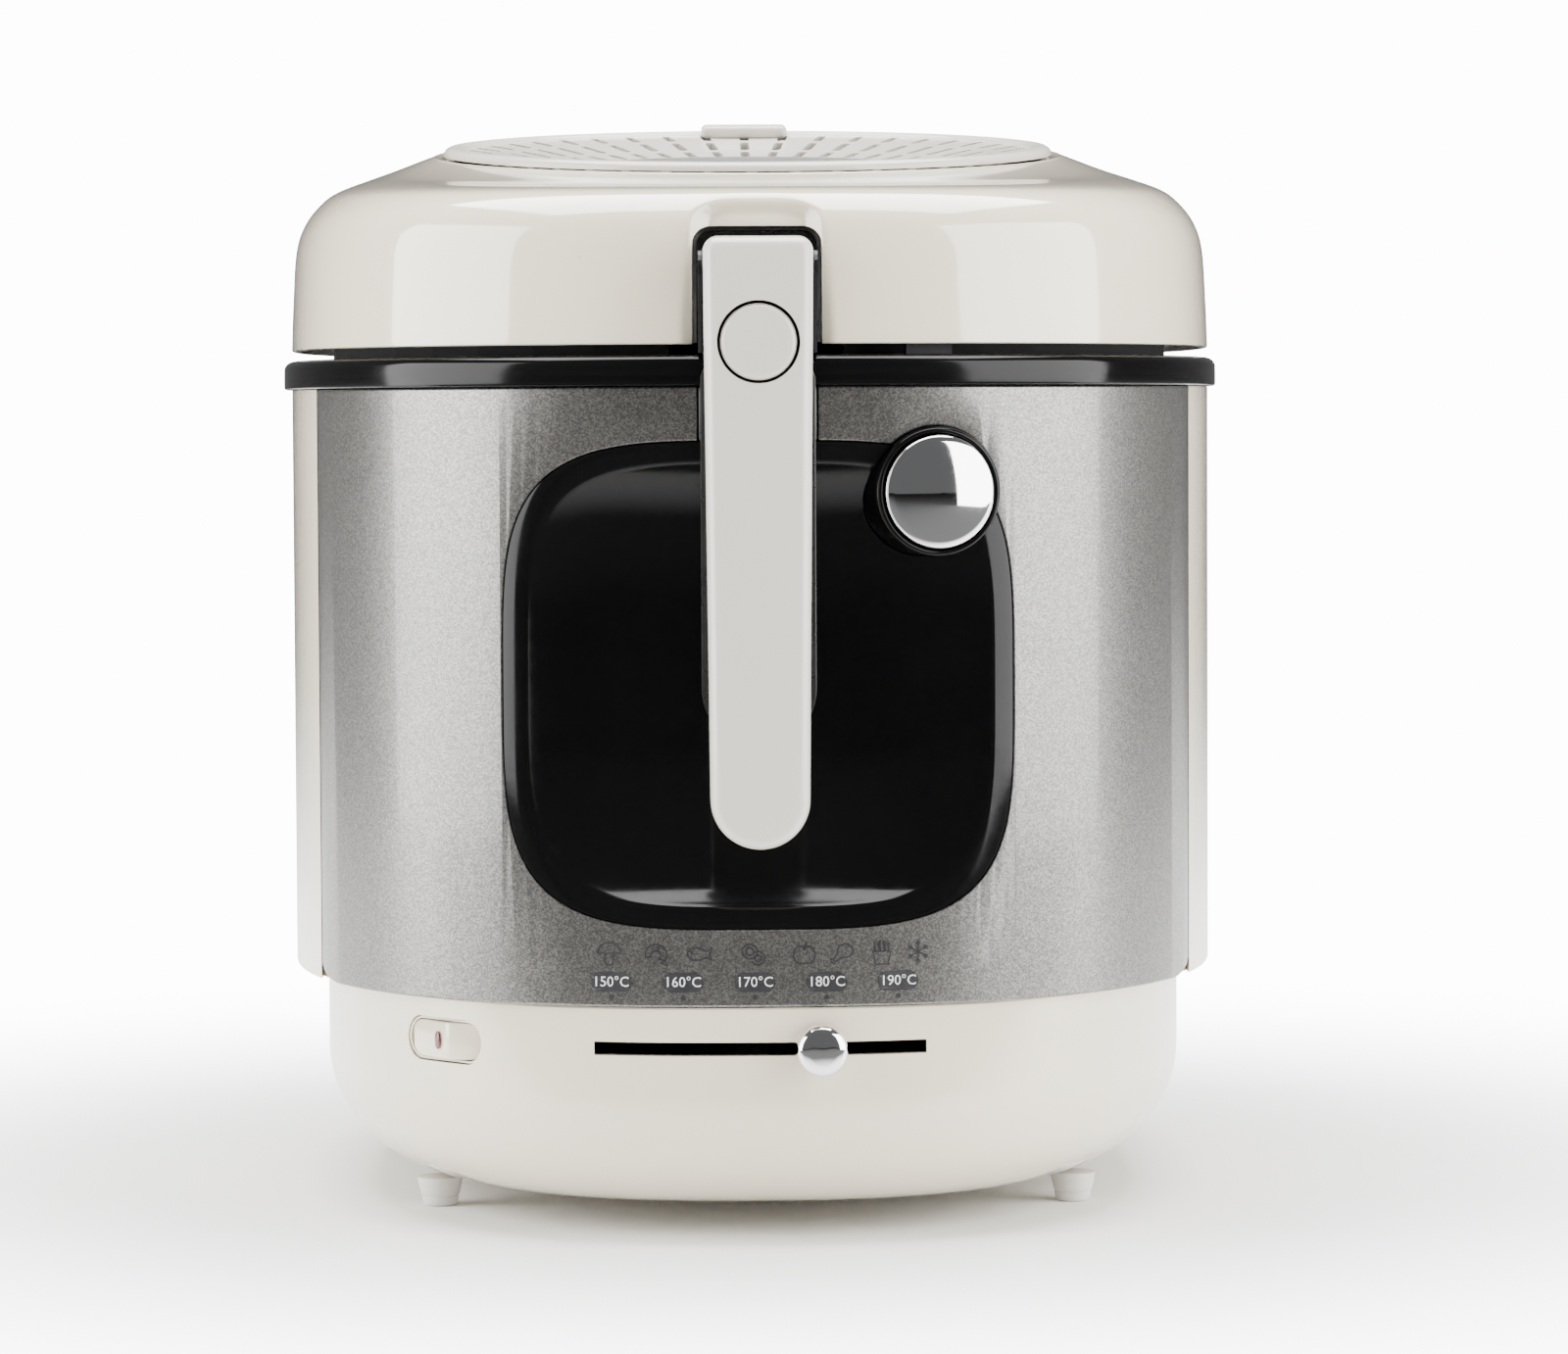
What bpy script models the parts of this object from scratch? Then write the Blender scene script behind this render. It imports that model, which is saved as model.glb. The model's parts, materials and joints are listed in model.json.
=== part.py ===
"""Deep fryer with a removable bowl, a lift-out basket and a hinged lid.

Metres, +Z up, the front faces -Y. The origin is on the table, under the middle of the object.
Every sub-part is one named object. Moving pieces hang on an empty that lies on their joint's axis.
"""
import math

import bmesh
import bpy
from mathutils import Matrix, Vector

# ---------------------------------------------------------------- driving dimensions
GAP = 0.0003              # clearance kept between touching pieces

BODY_HALF_WIDTH = 0.1465
BODY_HALF_DEPTH = 0.185
BODY_POWER = 2.5          # exponent of the rounded plan outline
SHELL_BOTTOM = 0.071
SHELL_TOP = 0.252
SHELL_WALL = 0.0025
SIDE_STEP = 0.0101        # how far the base is set back under the shell at the sides
FRONT_STEP = 0.0005

BASE_BOTTOM = 0.0092
BASE_RADIUS = 0.035       # rounding of the base's underside
BASE_WALL = 0.003
FOOT_RADIUS = 0.007
FOOT_SIDE_INSET = 0.0384  # from the base's side to the middle of a foot
FOOT_END_INSET = 0.0925
BOSS_HEIGHT = 0.007
SCREW_X = 0.055
SCREW_END_INSET = 0.0745
SCREW_RADIUS = 0.0016
SCREW_LENGTH = 0.014
INLET_DROP = 0.019        # below the joint between base and shell
INLET_RADIUS = 0.007
INLET_BORE = 0.004
INLET_FLANGE = 0.0095
TERMINAL_HALF_WIDTH = 0.024
TERMINAL_DEPTH = 0.022
TERMINAL_HEIGHT = 0.0174
TERMINAL_INSET = 0.0445   # from the base's rear to the terminal block

PANEL_SIDE_INSET = 0.0132
RECESS_HALF_WIDTH = 0.0748
RECESS_TOP_INSET = 0.016
RECESS_FOOT_INSET = 0.023
RECESS_POWER = 4.0
RECESS_DEPTH = 0.017
RECESS_WALL = 0.002
RECESS_RIM = 0.915        # where the bevelled rim ends, as a share of the recess's half width
RECESS_RIM_DEPTH = 0.0016
CHANNEL_HALF_WIDTH = 0.0172
CHANNEL_DEPTH = 0.004

RING_HEIGHT = 0.0092
RING_PROUD = 0.0025
RING_SEAT_DEPTH = 0.004   # the bowl's flange lies this far below the ring's top
LID_GAP = 0.0031          # dark gap between the ring and the lid

LID_WALL = 0.0025
LID_TILT = 0.1033         # slope of the lid's top, lower at the front
LID_HEIGHT = 0.0637       # from the lid's lower edge to its top at the middle
LID_LEVELS = (            # inset in width, inset in depth, height, share of the tilt, outline power
    (0.0000, 0.0000, 0.0000, 0.00, 2.5),
    (0.0006, 0.0006, 0.0154, 0.00, 2.5),
    (0.0017, 0.0018, 0.0314, 0.02, 2.5),
    (0.0045, 0.0045, 0.0404, 0.10, 2.5),
    (0.0095, 0.0100, 0.0474, 0.22, 2.5),
    (0.0150, 0.0170, 0.0519, 0.35, 2.5),
    (0.0240, 0.0290, 0.0559, 0.55, 2.45),
    (0.0340, 0.0480, 0.0594, 0.80, 2.3),
)
LINING_LEVELS = (         # outset in width, outset in depth, height, share of the tilt, outline power
    (0.0100, 0.0100, 0.0024, 0.0, 2.5),
    (0.0030, 0.0030, 0.0024, 0.0, 2.5),
    (-0.006, -0.008, 0.0184, 0.1, 2.5),
    (-0.024, -0.040, 0.0314, 0.6, 2.3),
)
LINING_WALL = 0.0015
LINING_CUP_DROP = 0.024   # the filter's seat below the lid's top
LINING_CUP_LAP = 0.006    # half the width of that seat
NOTCH_HALF_WIDTH = 0.0189
NOTCH_HEIGHT = 0.0344
NOTCH_CORNER = 0.0057
NOTCH_DEPTH = 0.021       # behind the lid's front
LINER_WALL = 0.001
LINER_BACK = 0.0012

FILTER_SIDE_INSET = 0.0482
FILTER_THICKNESS = 0.0026
FILTER_DISH = 0.005
FILTER_FLAT = 0.042       # from the cover's rim to its flat middle
FILTER_SEAT = 0.0035      # half the width of the cover's seat on the lid
CARTRIDGE_INSET = 0.0203
CARTRIDGE_DROP = 0.0215
CARTRIDGE_HEIGHT = 0.012
TAB_HALF_WIDTH = 0.0145
TAB_HEIGHT = 0.0052

BOWL_SIDE_INSET = 0.0185
BOWL_END_INSET = 0.027
BOWL_RISE = 0.017         # from the shell's foot to the bowl
BOWL_WALL = 0.002
BOWL_FLANGE = 0.0075
PLATE_SIDE_INSET = 0.028
PLATE_END_INSET = 0.032
PLATE_THICKNESS = 0.0035
ELEMENT_SIDE_INSET = 0.058
ELEMENT_END_INSET = 0.068
ELEMENT_RADIUS = 0.0034
SHIELD_WALL = 0.0012
SHIELD_DEPTH = 0.007
BASKET_CLEARANCE = 0.010  # between the basket and the bowl
BASKET_RISE = 0.014       # from the bowl's underside to the basket
BASKET_DROP = 0.042       # from the shell's top to the basket's rim
BASKET_TAPER = 0.006
BASKET_WALL = 0.0012

HANDLE_TOP_RISE = 0.0338  # above the ring
HANDLE_LOW_RISE = 0.0245  # above the recess's lower edge
HANDLE_HALF_WIDTH = 0.0159
HANDLE_TAPER = 0.0015
HANDLE_CORNER = 0.0045
HANDLE_AHEAD = 0.022      # of its front face before the casing
HANDLE_BEHIND = 0.004
HANDLE_WALL = 0.002
HANDLE_SOLID_END = 0.032
HANDLE_PLATE = 0.0014
PIVOT_AHEAD = 0.011
PIVOT_RISE = 0.0248
PIVOT_PIN_RADIUS = 0.002
GRIP_BUTTON_RADIUS = 0.0115
GRIP_BUTTON_DROP = 0.0304 # below the handle's top
GRIP_SPRING_RADIUS = 0.0045

BRACKET_THICKNESS = 0.0023
BRACKET_AHEAD = 0.005
BRACKET_LAP = 0.004       # how far the bracket's upper face runs behind the casing's front
BRACKET_SCREWS = (-0.009, 0.009)
BRACKET_SCREW_INSET = 0.0105
EAR_WALL = 0.001
EAR_RADIUS = 0.005
GUIDE_CLEARANCE = 0.0035
GUIDE_WALL = 0.0015
GUIDE_HALF_WIDTH = 0.010
GUIDE_REACH = 0.010       # below the basket's rim

LID_BUTTON_X = 0.0522
LID_BUTTON_DROP = 0.0309
LID_BUTTON_RADIUS = 0.01675
BUTTON_TRAVEL = 0.0035
BUTTON_STEM = 0.0028
COLLAR_RADIUS = 0.019
COLLAR_DEPTH = 0.012
COLLAR_PROUD = 0.0028
COLLAR_FLOOR = 0.0018
LID_SPRING_RADIUS = 0.0095
SPRING_WIRE = 0.0004
HOOK_THICKNESS = 0.002
HOOK_WIDTH = 0.014
HOOK_RISE = 0.0055        # above the lid's lower edge
KEEPER_INNER = 0.0052     # the keeper's depth behind the lid's surface
HOOK_FACE = 0.0066        # the hook's upright, measured the same way

HINGE_BEHIND = 0.012
HINGE_RISE = 0.0028
HINGE_RADIUS = 0.0055
HINGE_PIN_RADIUS = 0.002
HINGE_HALF = 0.008        # half the length of the lid's knuckle
HINGE_SIDE = 0.017        # length of each outer knuckle

SLOT_HALF_LENGTH = 0.0487
SLOT_DROP = 0.0124
SLOT_HEIGHT = 0.0039
SLIDER_ARC = 0.2178       # radius on which the knob travels
SLIDER_PROUD = 0.0009
KNOB_X = 0.0173
KNOB_RADIUS = 0.00745
KNOB_LENGTH = 0.009
SHAFT_RADIUS = 0.003
THERMOSTAT_RADIUS = 0.014
SWITCH_SIDE_INSET = 0.0419
SWITCH_DROP = 0.013
SWITCH_LENGTH = 0.033
SWITCH_HEIGHT = 0.0127
BEZEL_WALL = 0.0006
ROCKER_PIVOT = -0.005     # depth of the rocker's axis behind the wall's surface

OUTLINE_STEPS = 40        # corners of a plan outline
ROUND_STEPS = 16          # corners of a small round piece
LARGE_STEPS = 32          # corners of the filter and the recess
FAR = 0.12                # reach of a cutter well past the piece it cuts

# ---------------------------------------------------------------- sizes that follow
BASE_HALF_WIDTH = BODY_HALF_WIDTH - SIDE_STEP
BASE_HALF_DEPTH = BODY_HALF_DEPTH - FRONT_STEP
FOOT_X = BASE_HALF_WIDTH - FOOT_SIDE_INSET
FOOT_Y = BASE_HALF_DEPTH - FOOT_END_INSET
SCREW_Y = BASE_HALF_DEPTH - SCREW_END_INSET
INLET_Z = SHELL_BOTTOM - INLET_DROP
PANEL_HALF_WIDTH = BODY_HALF_WIDTH - PANEL_SIDE_INSET
RECESS_TOP = SHELL_TOP - RECESS_TOP_INSET
RECESS_BOTTOM = SHELL_BOTTOM + RECESS_FOOT_INSET
RECESS_Z = (RECESS_TOP + RECESS_BOTTOM) / 2
RECESS_HALF_HEIGHT = (RECESS_TOP - RECESS_BOTTOM) / 2
RING_BOTTOM = SHELL_TOP + GAP
RING_TOP = SHELL_TOP + RING_HEIGHT
RING_SEAT = RING_TOP - RING_SEAT_DEPTH
LID_BOTTOM = RING_TOP + LID_GAP
LID_CROWN = LID_BOTTOM + LID_HEIGHT
NOTCH_TOP = LID_BOTTOM + NOTCH_HEIGHT
NOTCH_BACK = -BODY_HALF_DEPTH + NOTCH_DEPTH
FILTER_RADIUS = BODY_HALF_WIDTH - FILTER_SIDE_INSET
CARTRIDGE_RADIUS = FILTER_RADIUS - CARTRIDGE_INSET
BOWL_HALF_WIDTH = BODY_HALF_WIDTH - BOWL_SIDE_INSET
BOWL_HALF_DEPTH = BODY_HALF_DEPTH - BOWL_END_INSET
BOWL_BOTTOM = SHELL_BOTTOM + BOWL_RISE
BASKET_HALF_WIDTH = BOWL_HALF_WIDTH - BOWL_WALL - BASKET_CLEARANCE
BASKET_HALF_DEPTH = BOWL_HALF_DEPTH - BOWL_WALL - BASKET_CLEARANCE
BASKET_BOTTOM = BOWL_BOTTOM + BASKET_RISE
BASKET_TOP = SHELL_TOP - BASKET_DROP
HANDLE_TOP = RING_TOP + HANDLE_TOP_RISE
HANDLE_BOTTOM = RECESS_BOTTOM + HANDLE_LOW_RISE
HANDLE_FRONT = BODY_HALF_DEPTH + HANDLE_AHEAD
HANDLE_BACK = BODY_HALF_DEPTH + HANDLE_BEHIND
PIVOT_Y = -BODY_HALF_DEPTH - PIVOT_AHEAD
PIVOT_Z = RING_TOP + PIVOT_RISE
GRIP_BUTTON_Z = HANDLE_TOP - GRIP_BUTTON_DROP
BRACKET_LOW = RING_TOP + 0.0005
BRACKET_HIGH = BRACKET_LOW + BRACKET_THICKNESS
BRACKET_SCREW_Y = -BODY_HALF_DEPTH + BRACKET_SCREW_INSET
EAR_INNER = HANDLE_HALF_WIDTH + GAP
EAR_OUTER = EAR_INNER + EAR_WALL
GUIDE_Y = BOWL_HALF_DEPTH - BOWL_WALL - GUIDE_CLEARANCE
GUIDE_BOTTOM = BASKET_TOP - GUIDE_REACH
LID_BUTTON_Z = SHELL_TOP - LID_BUTTON_DROP
HOOK_TOP = LID_BOTTOM + HOOK_RISE
HINGE_Y = BODY_HALF_DEPTH + HINGE_BEHIND
HINGE_Z = RING_TOP + HINGE_RISE
HINGE_REACH = HINGE_HALF + GAP + HINGE_SIDE
SLOT_Z = SHELL_BOTTOM - SLOT_DROP
SLIDER_CENTRE_Y = -BASE_HALF_DEPTH + SLIDER_ARC
SWITCH_X = -BASE_HALF_WIDTH + SWITCH_SIDE_INSET
SWITCH_Z = SHELL_BOTTOM - SWITCH_DROP

WHITE = (0.83, 0.80, 0.74)
LIGHT_GREY = (0.62, 0.60, 0.58)
SILVER = (0.35, 0.35, 0.35)
BLACK = (0.008, 0.008, 0.009)
STEEL = (0.55, 0.56, 0.57)


# ---------------------------------------------------------------- helpers
def clear_scene():
    for obj in list(bpy.data.objects):
        bpy.data.objects.remove(obj, do_unlink=True)


def material(name, colour, roughness, metallic=0.0):
    mat = bpy.data.materials.get(name) or bpy.data.materials.new(name)
    mat.use_nodes = True
    shader = mat.node_tree.nodes["Principled BSDF"]
    shader.inputs["Base Color"].default_value = (*colour, 1.0)
    shader.inputs["Roughness"].default_value = roughness
    shader.inputs["Metallic"].default_value = metallic
    return mat


def new_object(name, bm, mat, smooth=True):
    """Turn a bmesh into a linked object with one material."""
    bmesh.ops.recalc_face_normals(bm, faces=bm.faces[:])
    mesh = bpy.data.meshes.new(name)
    bm.to_mesh(mesh)
    bm.free()
    obj = bpy.data.objects.new(name, mesh)
    bpy.context.collection.objects.link(obj)
    mesh.materials.append(mat)
    if smooth:
        mesh.shade_smooth()
        mesh.set_sharp_from_angle(angle=math.radians(35))
    return obj


def outline_point(half_width, half_depth, power, turn):
    """Point of a rounded-rectangle outline; turn runs from 0 to 1, from +X towards +Y."""
    c = math.cos(2 * math.pi * turn)
    s = math.sin(2 * math.pi * turn)
    x = math.copysign(abs(c) ** (2 / power), c) * half_width
    y = math.copysign(abs(s) ** (2 / power), s) * half_depth
    return x, y


def plan_loop(half_width, half_depth, z, power=BODY_POWER, tilt=0.0, steps=OUTLINE_STEPS):
    """One closed outline at height z, sloping by tilt along Y."""
    points = [outline_point(half_width, half_depth, power, i / steps) for i in range(steps)]
    return [Vector((x, y, z + tilt * y)) for x, y in points]


def surface_y(x, half_width=BODY_HALF_WIDTH, half_depth=BODY_HALF_DEPTH):
    """Front surface of an outline at a distance x from the middle."""
    return -half_depth * (1 - abs(x / half_width) ** BODY_POWER) ** (1 / BODY_POWER)


def surface_angle(x, half_width=BODY_HALF_WIDTH, half_depth=BODY_HALF_DEPTH):
    """Turn about Z of the surface's outward direction, 0 where it faces -Y."""
    y = surface_y(x, half_width, half_depth)
    nx = math.copysign(abs(x / half_width) ** (BODY_POWER - 1), x) / half_width
    ny = abs(y / half_depth) ** (BODY_POWER - 1) / half_depth
    return math.atan2(nx, ny)


def loft(name, loops, mat, closed=False, smooth=True):
    """Bridge loops of equal count; the ends are filled, or joined to each other when closed."""
    bm = bmesh.new()
    rings = []
    for loop in loops:
        verts = [bm.verts.new(p) for p in loop]
        edges = [bm.edges.new((verts[i - 1], verts[i])) for i in range(len(verts))]
        rings.append((verts, edges))
    pairs = list(zip(rings, rings[1:]))
    if closed:
        pairs.append((rings[-1], rings[0]))
    for (verts_a, _), (verts_b, _) in pairs:
        for i in range(len(verts_a)):
            bm.faces.new((verts_a[i - 1], verts_a[i], verts_b[i], verts_b[i - 1]))
    if not closed:
        bmesh.ops.contextual_create(bm, geom=rings[0][1])
        bmesh.ops.contextual_create(bm, geom=rings[-1][1])
    return new_object(name, bm, mat, smooth)


def turned(name, profile, mat, steps=ROUND_STEPS):
    """Spin a profile of (radius, height) pairs about Z; a profile off the axis closes on itself."""
    bm = bmesh.new()
    verts = [bm.verts.new((r, 0, z)) for r, z in profile]
    edges = [bm.edges.new(pair) for pair in zip(verts, verts[1:])]
    if profile[0][0] > 0 and profile[-1][0] > 0:
        edges.append(bm.edges.new((verts[-1], verts[0])))
    bmesh.ops.spin(bm, geom=verts + edges, cent=(0, 0, 0), axis=(0, 0, 1),
                   angle=2 * math.pi, steps=steps, use_merge=True, use_duplicate=False)
    bmesh.ops.remove_doubles(bm, verts=bm.verts[:], dist=1e-6)
    return new_object(name, bm, mat)


def block(name, low, high, mat, bevel=0.0, segments=2):
    """A box between two corners, with rounded edges."""
    bm = bmesh.new()
    low, high = Vector(low), Vector(high)
    size = high - low
    bmesh.ops.create_cube(bm, size=1.0, matrix=Matrix.Translation((low + high) / 2) @ Matrix.Diagonal((*size, 1)))
    if bevel:
        bmesh.ops.bevel(bm, geom=bm.edges[:], offset=bevel, segments=segments, affect="EDGES", profile=0.5)
    return new_object(name, bm, mat)


def prism(name, outline, direction, mat, smooth=False):
    """Extrude a flat outline of 3-D points along a direction."""
    bm = bmesh.new()
    face = bm.faces.new([bm.verts.new(p) for p in outline])
    moved = bmesh.ops.extrude_face_region(bm, geom=[face])["geom"]
    verts = [item for item in moved if isinstance(item, bmesh.types.BMVert)]
    bmesh.ops.translate(bm, verts=verts, vec=direction)
    return new_object(name, bm, mat, smooth)


def apply_turn(obj, matrix):
    obj.data.transform(matrix)
    if matrix.determinant() < 0:
        obj.data.flip_normals()


def cutter(obj):
    obj.hide_render = True
    obj.display_type = "WIRE"
    return obj


def boolean(obj, tool, operation="DIFFERENCE"):
    mod = obj.modifiers.new(operation.lower(), "BOOLEAN")
    mod.operation = operation
    mod.solver = "EXACT"
    mod.object = cutter(tool)
    return mod


def joint_empty(name, point, parent=None):
    empty = bpy.data.objects.new(name, None)
    bpy.context.collection.objects.link(empty)
    empty.location = Vector(point)
    if parent:
        empty.parent = parent
        empty.location = Vector(point) - parent.matrix_world.translation
    bpy.context.view_layer.update()
    return empty


def hang(obj, empty):
    """Give a piece modelled in place its origin on a joint's axis, and parent it there."""
    point = empty.matrix_world.translation
    obj.data.transform(Matrix.Translation(-point))
    obj.parent = empty
    obj.location = (0, 0, 0)
    for mod in obj.modifiers:
        if mod.type == "BOOLEAN":
            mod.object.data.transform(Matrix.Translation(-point))
            mod.object.parent = empty
    return obj


def arc(centre, radius, start, end, steps):
    """Points (u, v) along an arc, angles in degrees."""
    angles = [math.radians(start + (end - start) * i / steps) for i in range(steps + 1)]
    return [(centre[0] + radius * math.cos(a), centre[1] + radius * math.sin(a)) for a in angles]


def front_matrix(x, z, half_width=BODY_HALF_WIDTH, half_depth=BODY_HALF_DEPTH):
    """Frame on the front surface: local Z points outwards, local Y points up."""
    turn = surface_angle(x, half_width, half_depth)
    place = Vector((x, surface_y(x, half_width, half_depth), z))
    return Matrix.Translation(place) @ Matrix.Rotation(turn, 4, "Z") @ Matrix.Rotation(math.pi / 2, 4, "X")


def front_span(limit, extra=0.0):
    """Turns of the outline's front stretch between x = -limit and x = +limit."""
    reach = ((limit + extra) / BODY_HALF_WIDTH) ** (BODY_POWER / 2)
    end = math.acos(reach) / (2 * math.pi)
    start, stop = 0.5 + end, 1.0 - end
    steps = [i / OUTLINE_STEPS for i in range(OUTLINE_STEPS) if start < i / OUTLINE_STEPS < stop]
    return [start] + steps + [stop]


def sector(name, turns, outset, inset, low, high, mat):
    """A stretch of upright wall between two offsets of the body's outline."""
    loops = []
    for turn in turns:
        outer = outline_point(BODY_HALF_WIDTH + outset, BODY_HALF_DEPTH + outset, BODY_POWER, turn)
        inner = outline_point(BODY_HALF_WIDTH - inset, BODY_HALF_DEPTH - inset, BODY_POWER, turn)
        loops.append([Vector((*outer, low)), Vector((*outer, high)), Vector((*inner, high)), Vector((*inner, low))])
    return loft(name, loops, mat)


def rod(name, start, end, radius, mat, steps=ROUND_STEPS):
    """A plain round bar between two points."""
    start, end = Vector(start), Vector(end)
    obj = turned(name, [(0, 0), (radius, 0), (radius, (end - start).length), (0, (end - start).length)], mat, steps)
    turn = (end - start).to_track_quat("Z", "Y").to_matrix().to_4x4()
    apply_turn(obj, Matrix.Translation(start) @ turn)
    return obj


def tube(name, points, radius, mat, cyclic=False):
    """A round bar along a path."""
    curve = bpy.data.curves.new(name, "CURVE")
    curve.dimensions = "3D"
    curve.bevel_depth = radius
    curve.bevel_resolution = 1
    curve.use_fill_caps = True
    spline = curve.splines.new("POLY")
    spline.points.add(len(points) - 1)
    for target, point in zip(spline.points, points):
        target.co = (*point, 1)
    spline.use_cyclic_u = cyclic
    curve.materials.append(mat)
    obj = bpy.data.objects.new(name, curve)
    bpy.context.collection.objects.link(obj)
    return obj


def coil(name, matrix, radius, wire, length, turns, mat, steps=8):
    """A compression spring along a frame's Z."""
    count = int(turns * steps)
    points = []
    for i in range(count + 1):
        angle = 2 * math.pi * i / steps
        height = wire + (length - 2 * wire) * i / count
        points.append(matrix @ Vector((radius * math.cos(angle), radius * math.sin(angle), height)))
    return tube(name, points, wire, mat)


def stadium(half_length, half_height, steps=8):
    """Outline of a slot with full round ends."""
    reach = half_length - half_height
    right = arc((reach, 0), half_height, -90, 90, steps)
    left = arc((-reach, 0), half_height, 90, 270, steps)
    return right + left


def squircle(half_width, half_height, steps=LARGE_STEPS):
    """Outline of the handle recess about its middle."""
    points = []
    for i in range(steps):
        x, z = outline_point(half_width, half_height, RECESS_POWER, i / steps)
        points.append((x, RECESS_Z + z))
    return points


def upright(outline, y):
    return [Vector((u, y, v)) for u, v in outline]


# ---------------------------------------------------------------- base
def base_tray(mat):
    """The white underside: a rounded tray with bosses, the slider slot and the switch hole."""
    top = SHELL_BOTTOM - GAP
    loops = []
    for i in range(4):
        a = math.pi / 2 * i / 3
        inset, rise = BASE_RADIUS * (1 - math.sin(a)), BASE_RADIUS * (1 - math.cos(a))
        loops.append(plan_loop(BASE_HALF_WIDTH - inset, BASE_HALF_DEPTH - inset, BASE_BOTTOM + rise))
    loops.append(plan_loop(BASE_HALF_WIDTH, BASE_HALF_DEPTH, top))
    loops.append(plan_loop(BASE_HALF_WIDTH - BASE_WALL, BASE_HALF_DEPTH - BASE_WALL, top))
    inner = BASE_RADIUS - BASE_WALL
    for i in range(3, -1, -1):
        a = math.pi / 2 * i / 3
        inset, rise = BASE_WALL + inner * (1 - math.sin(a)), inner * (1 - math.cos(a))
        loops.append(plan_loop(BASE_HALF_WIDTH - inset, BASE_HALF_DEPTH - inset, BASE_BOTTOM + BASE_WALL + rise))
    obj = loft("base_tray", loops, mat)
    for i, (x, y) in enumerate(foot_places()):
        boss = rod(f"boss_shape_{i}", (x, y, BASE_BOTTOM), (x, y, BASE_BOTTOM + BOSS_HEIGHT),
                   FOOT_RADIUS + 0.0002, mat)
        boolean(obj, boss, "UNION")
    slot = block("slot_shape", (-SLOT_HALF_LENGTH, -BASE_HALF_DEPTH - FAR, SLOT_Z - SLOT_HEIGHT / 2),
                 (SLOT_HALF_LENGTH, -BASE_HALF_DEPTH + 0.02, SLOT_Z + SLOT_HEIGHT / 2), mat)
    boolean(obj, slot)
    boolean(obj, switch_solid("switch_hole_shape", GAP, -0.03, 0.02, mat))
    inlet = rod("inlet_hole_shape", (0, BASE_HALF_DEPTH - 0.02, INLET_Z), (0, BASE_HALF_DEPTH + 0.02, INLET_Z),
                INLET_RADIUS + GAP, mat)
    boolean(obj, inlet)
    for i, (x, y) in enumerate(screw_places()):
        hole = rod(f"floor_hole_shape_{i}", (x, y, 0), (x, y, 0.03), SCREW_RADIUS + GAP, mat, 12)
        boolean(obj, hole)
    return obj


def foot_places():
    return [(x, y) for y in (-FOOT_Y, FOOT_Y) for x in (-FOOT_X, FOOT_X)]


def screw_places():
    return [(x, y) for y in (-SCREW_Y, SCREW_Y) for x in (-SCREW_X, SCREW_X)]


def feet(mat):
    """Four tapered feet, each with a soft tip."""
    names = ("foot_front_left", "foot_front_right", "foot_rear_left", "foot_rear_right")
    height = BASE_BOTTOM - GAP
    profile = [(0, 0), (FOOT_RADIUS * 0.72, 0), (FOOT_RADIUS * 0.82, 0.0008), (FOOT_RADIUS, height), (0, height)]
    for name, (x, y) in zip(names, foot_places()):
        foot = turned(name, profile, mat)
        foot.location = (x, y, 0)


def base_screws(mat):
    """Four screws that hold the tray, seen from underneath."""
    head = BASE_BOTTOM - GAP
    profile = [(0, head - 0.0018), (0.0026, head - 0.0018), (0.0034, head - 0.001), (0.0034, head),
               (SCREW_RADIUS, head), (SCREW_RADIUS, head + SCREW_LENGTH), (0, head + SCREW_LENGTH)]
    for i, (x, y) in enumerate(screw_places()):
        screw = turned(f"base_screw_{i + 1}", profile, mat, 10)
        screw.location = (x, y, 0)


def cord_inlet(mat):
    """The bush in the rear wall where a cord would enter."""
    wall = BASE_WALL + 0.001
    profile = [(INLET_BORE, -wall - 0.003), (INLET_RADIUS, -wall - 0.003), (INLET_RADIUS, GAP),
               (INLET_FLANGE, GAP), (INLET_FLANGE, 0.0018), (INLET_BORE, 0.0026)]
    obj = turned("cord_inlet", profile, mat)
    apply_turn(obj, Matrix.Translation((0, BASE_HALF_DEPTH, INLET_Z)) @ Matrix.Rotation(-math.pi / 2, 4, "X"))


def terminal_block(mat):
    """The block on the base's floor where the mains wires end."""
    back = BASE_HALF_DEPTH - TERMINAL_INSET
    floor = BASE_BOTTOM + BASE_WALL + 0.0004
    block("terminal_block", (-TERMINAL_HALF_WIDTH, back - TERMINAL_DEPTH, floor),
          (TERMINAL_HALF_WIDTH, back, floor + TERMINAL_HEIGHT), mat, 0.001, 1)


# ---------------------------------------------------------------- body
def body_shell(mat):
    """The upright white casing: a wall with an inward flange at its foot, open behind the panel."""
    flange = SIDE_STEP + 0.006
    loops = [
        plan_loop(BODY_HALF_WIDTH, BODY_HALF_DEPTH, SHELL_BOTTOM),
        plan_loop(BODY_HALF_WIDTH, BODY_HALF_DEPTH, SHELL_TOP),
        plan_loop(BODY_HALF_WIDTH - SHELL_WALL, BODY_HALF_DEPTH - SHELL_WALL, SHELL_TOP),
        plan_loop(BODY_HALF_WIDTH - SHELL_WALL, BODY_HALF_DEPTH - SHELL_WALL, SHELL_BOTTOM + SHELL_WALL),
        plan_loop(BODY_HALF_WIDTH - flange, BODY_HALF_DEPTH - flange, SHELL_BOTTOM + SHELL_WALL),
        plan_loop(BODY_HALF_WIDTH - flange, BODY_HALF_DEPTH - flange, SHELL_BOTTOM),
    ]
    obj = loft("body_shell", loops, mat, closed=True)
    opening = sector("panel_opening_shape", front_span(PANEL_HALF_WIDTH, GAP), 0.01, SHELL_WALL + GAP,
                     SHELL_BOTTOM - 0.005, SHELL_TOP + 0.005, mat)
    boolean(obj, opening)
    return obj


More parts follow.
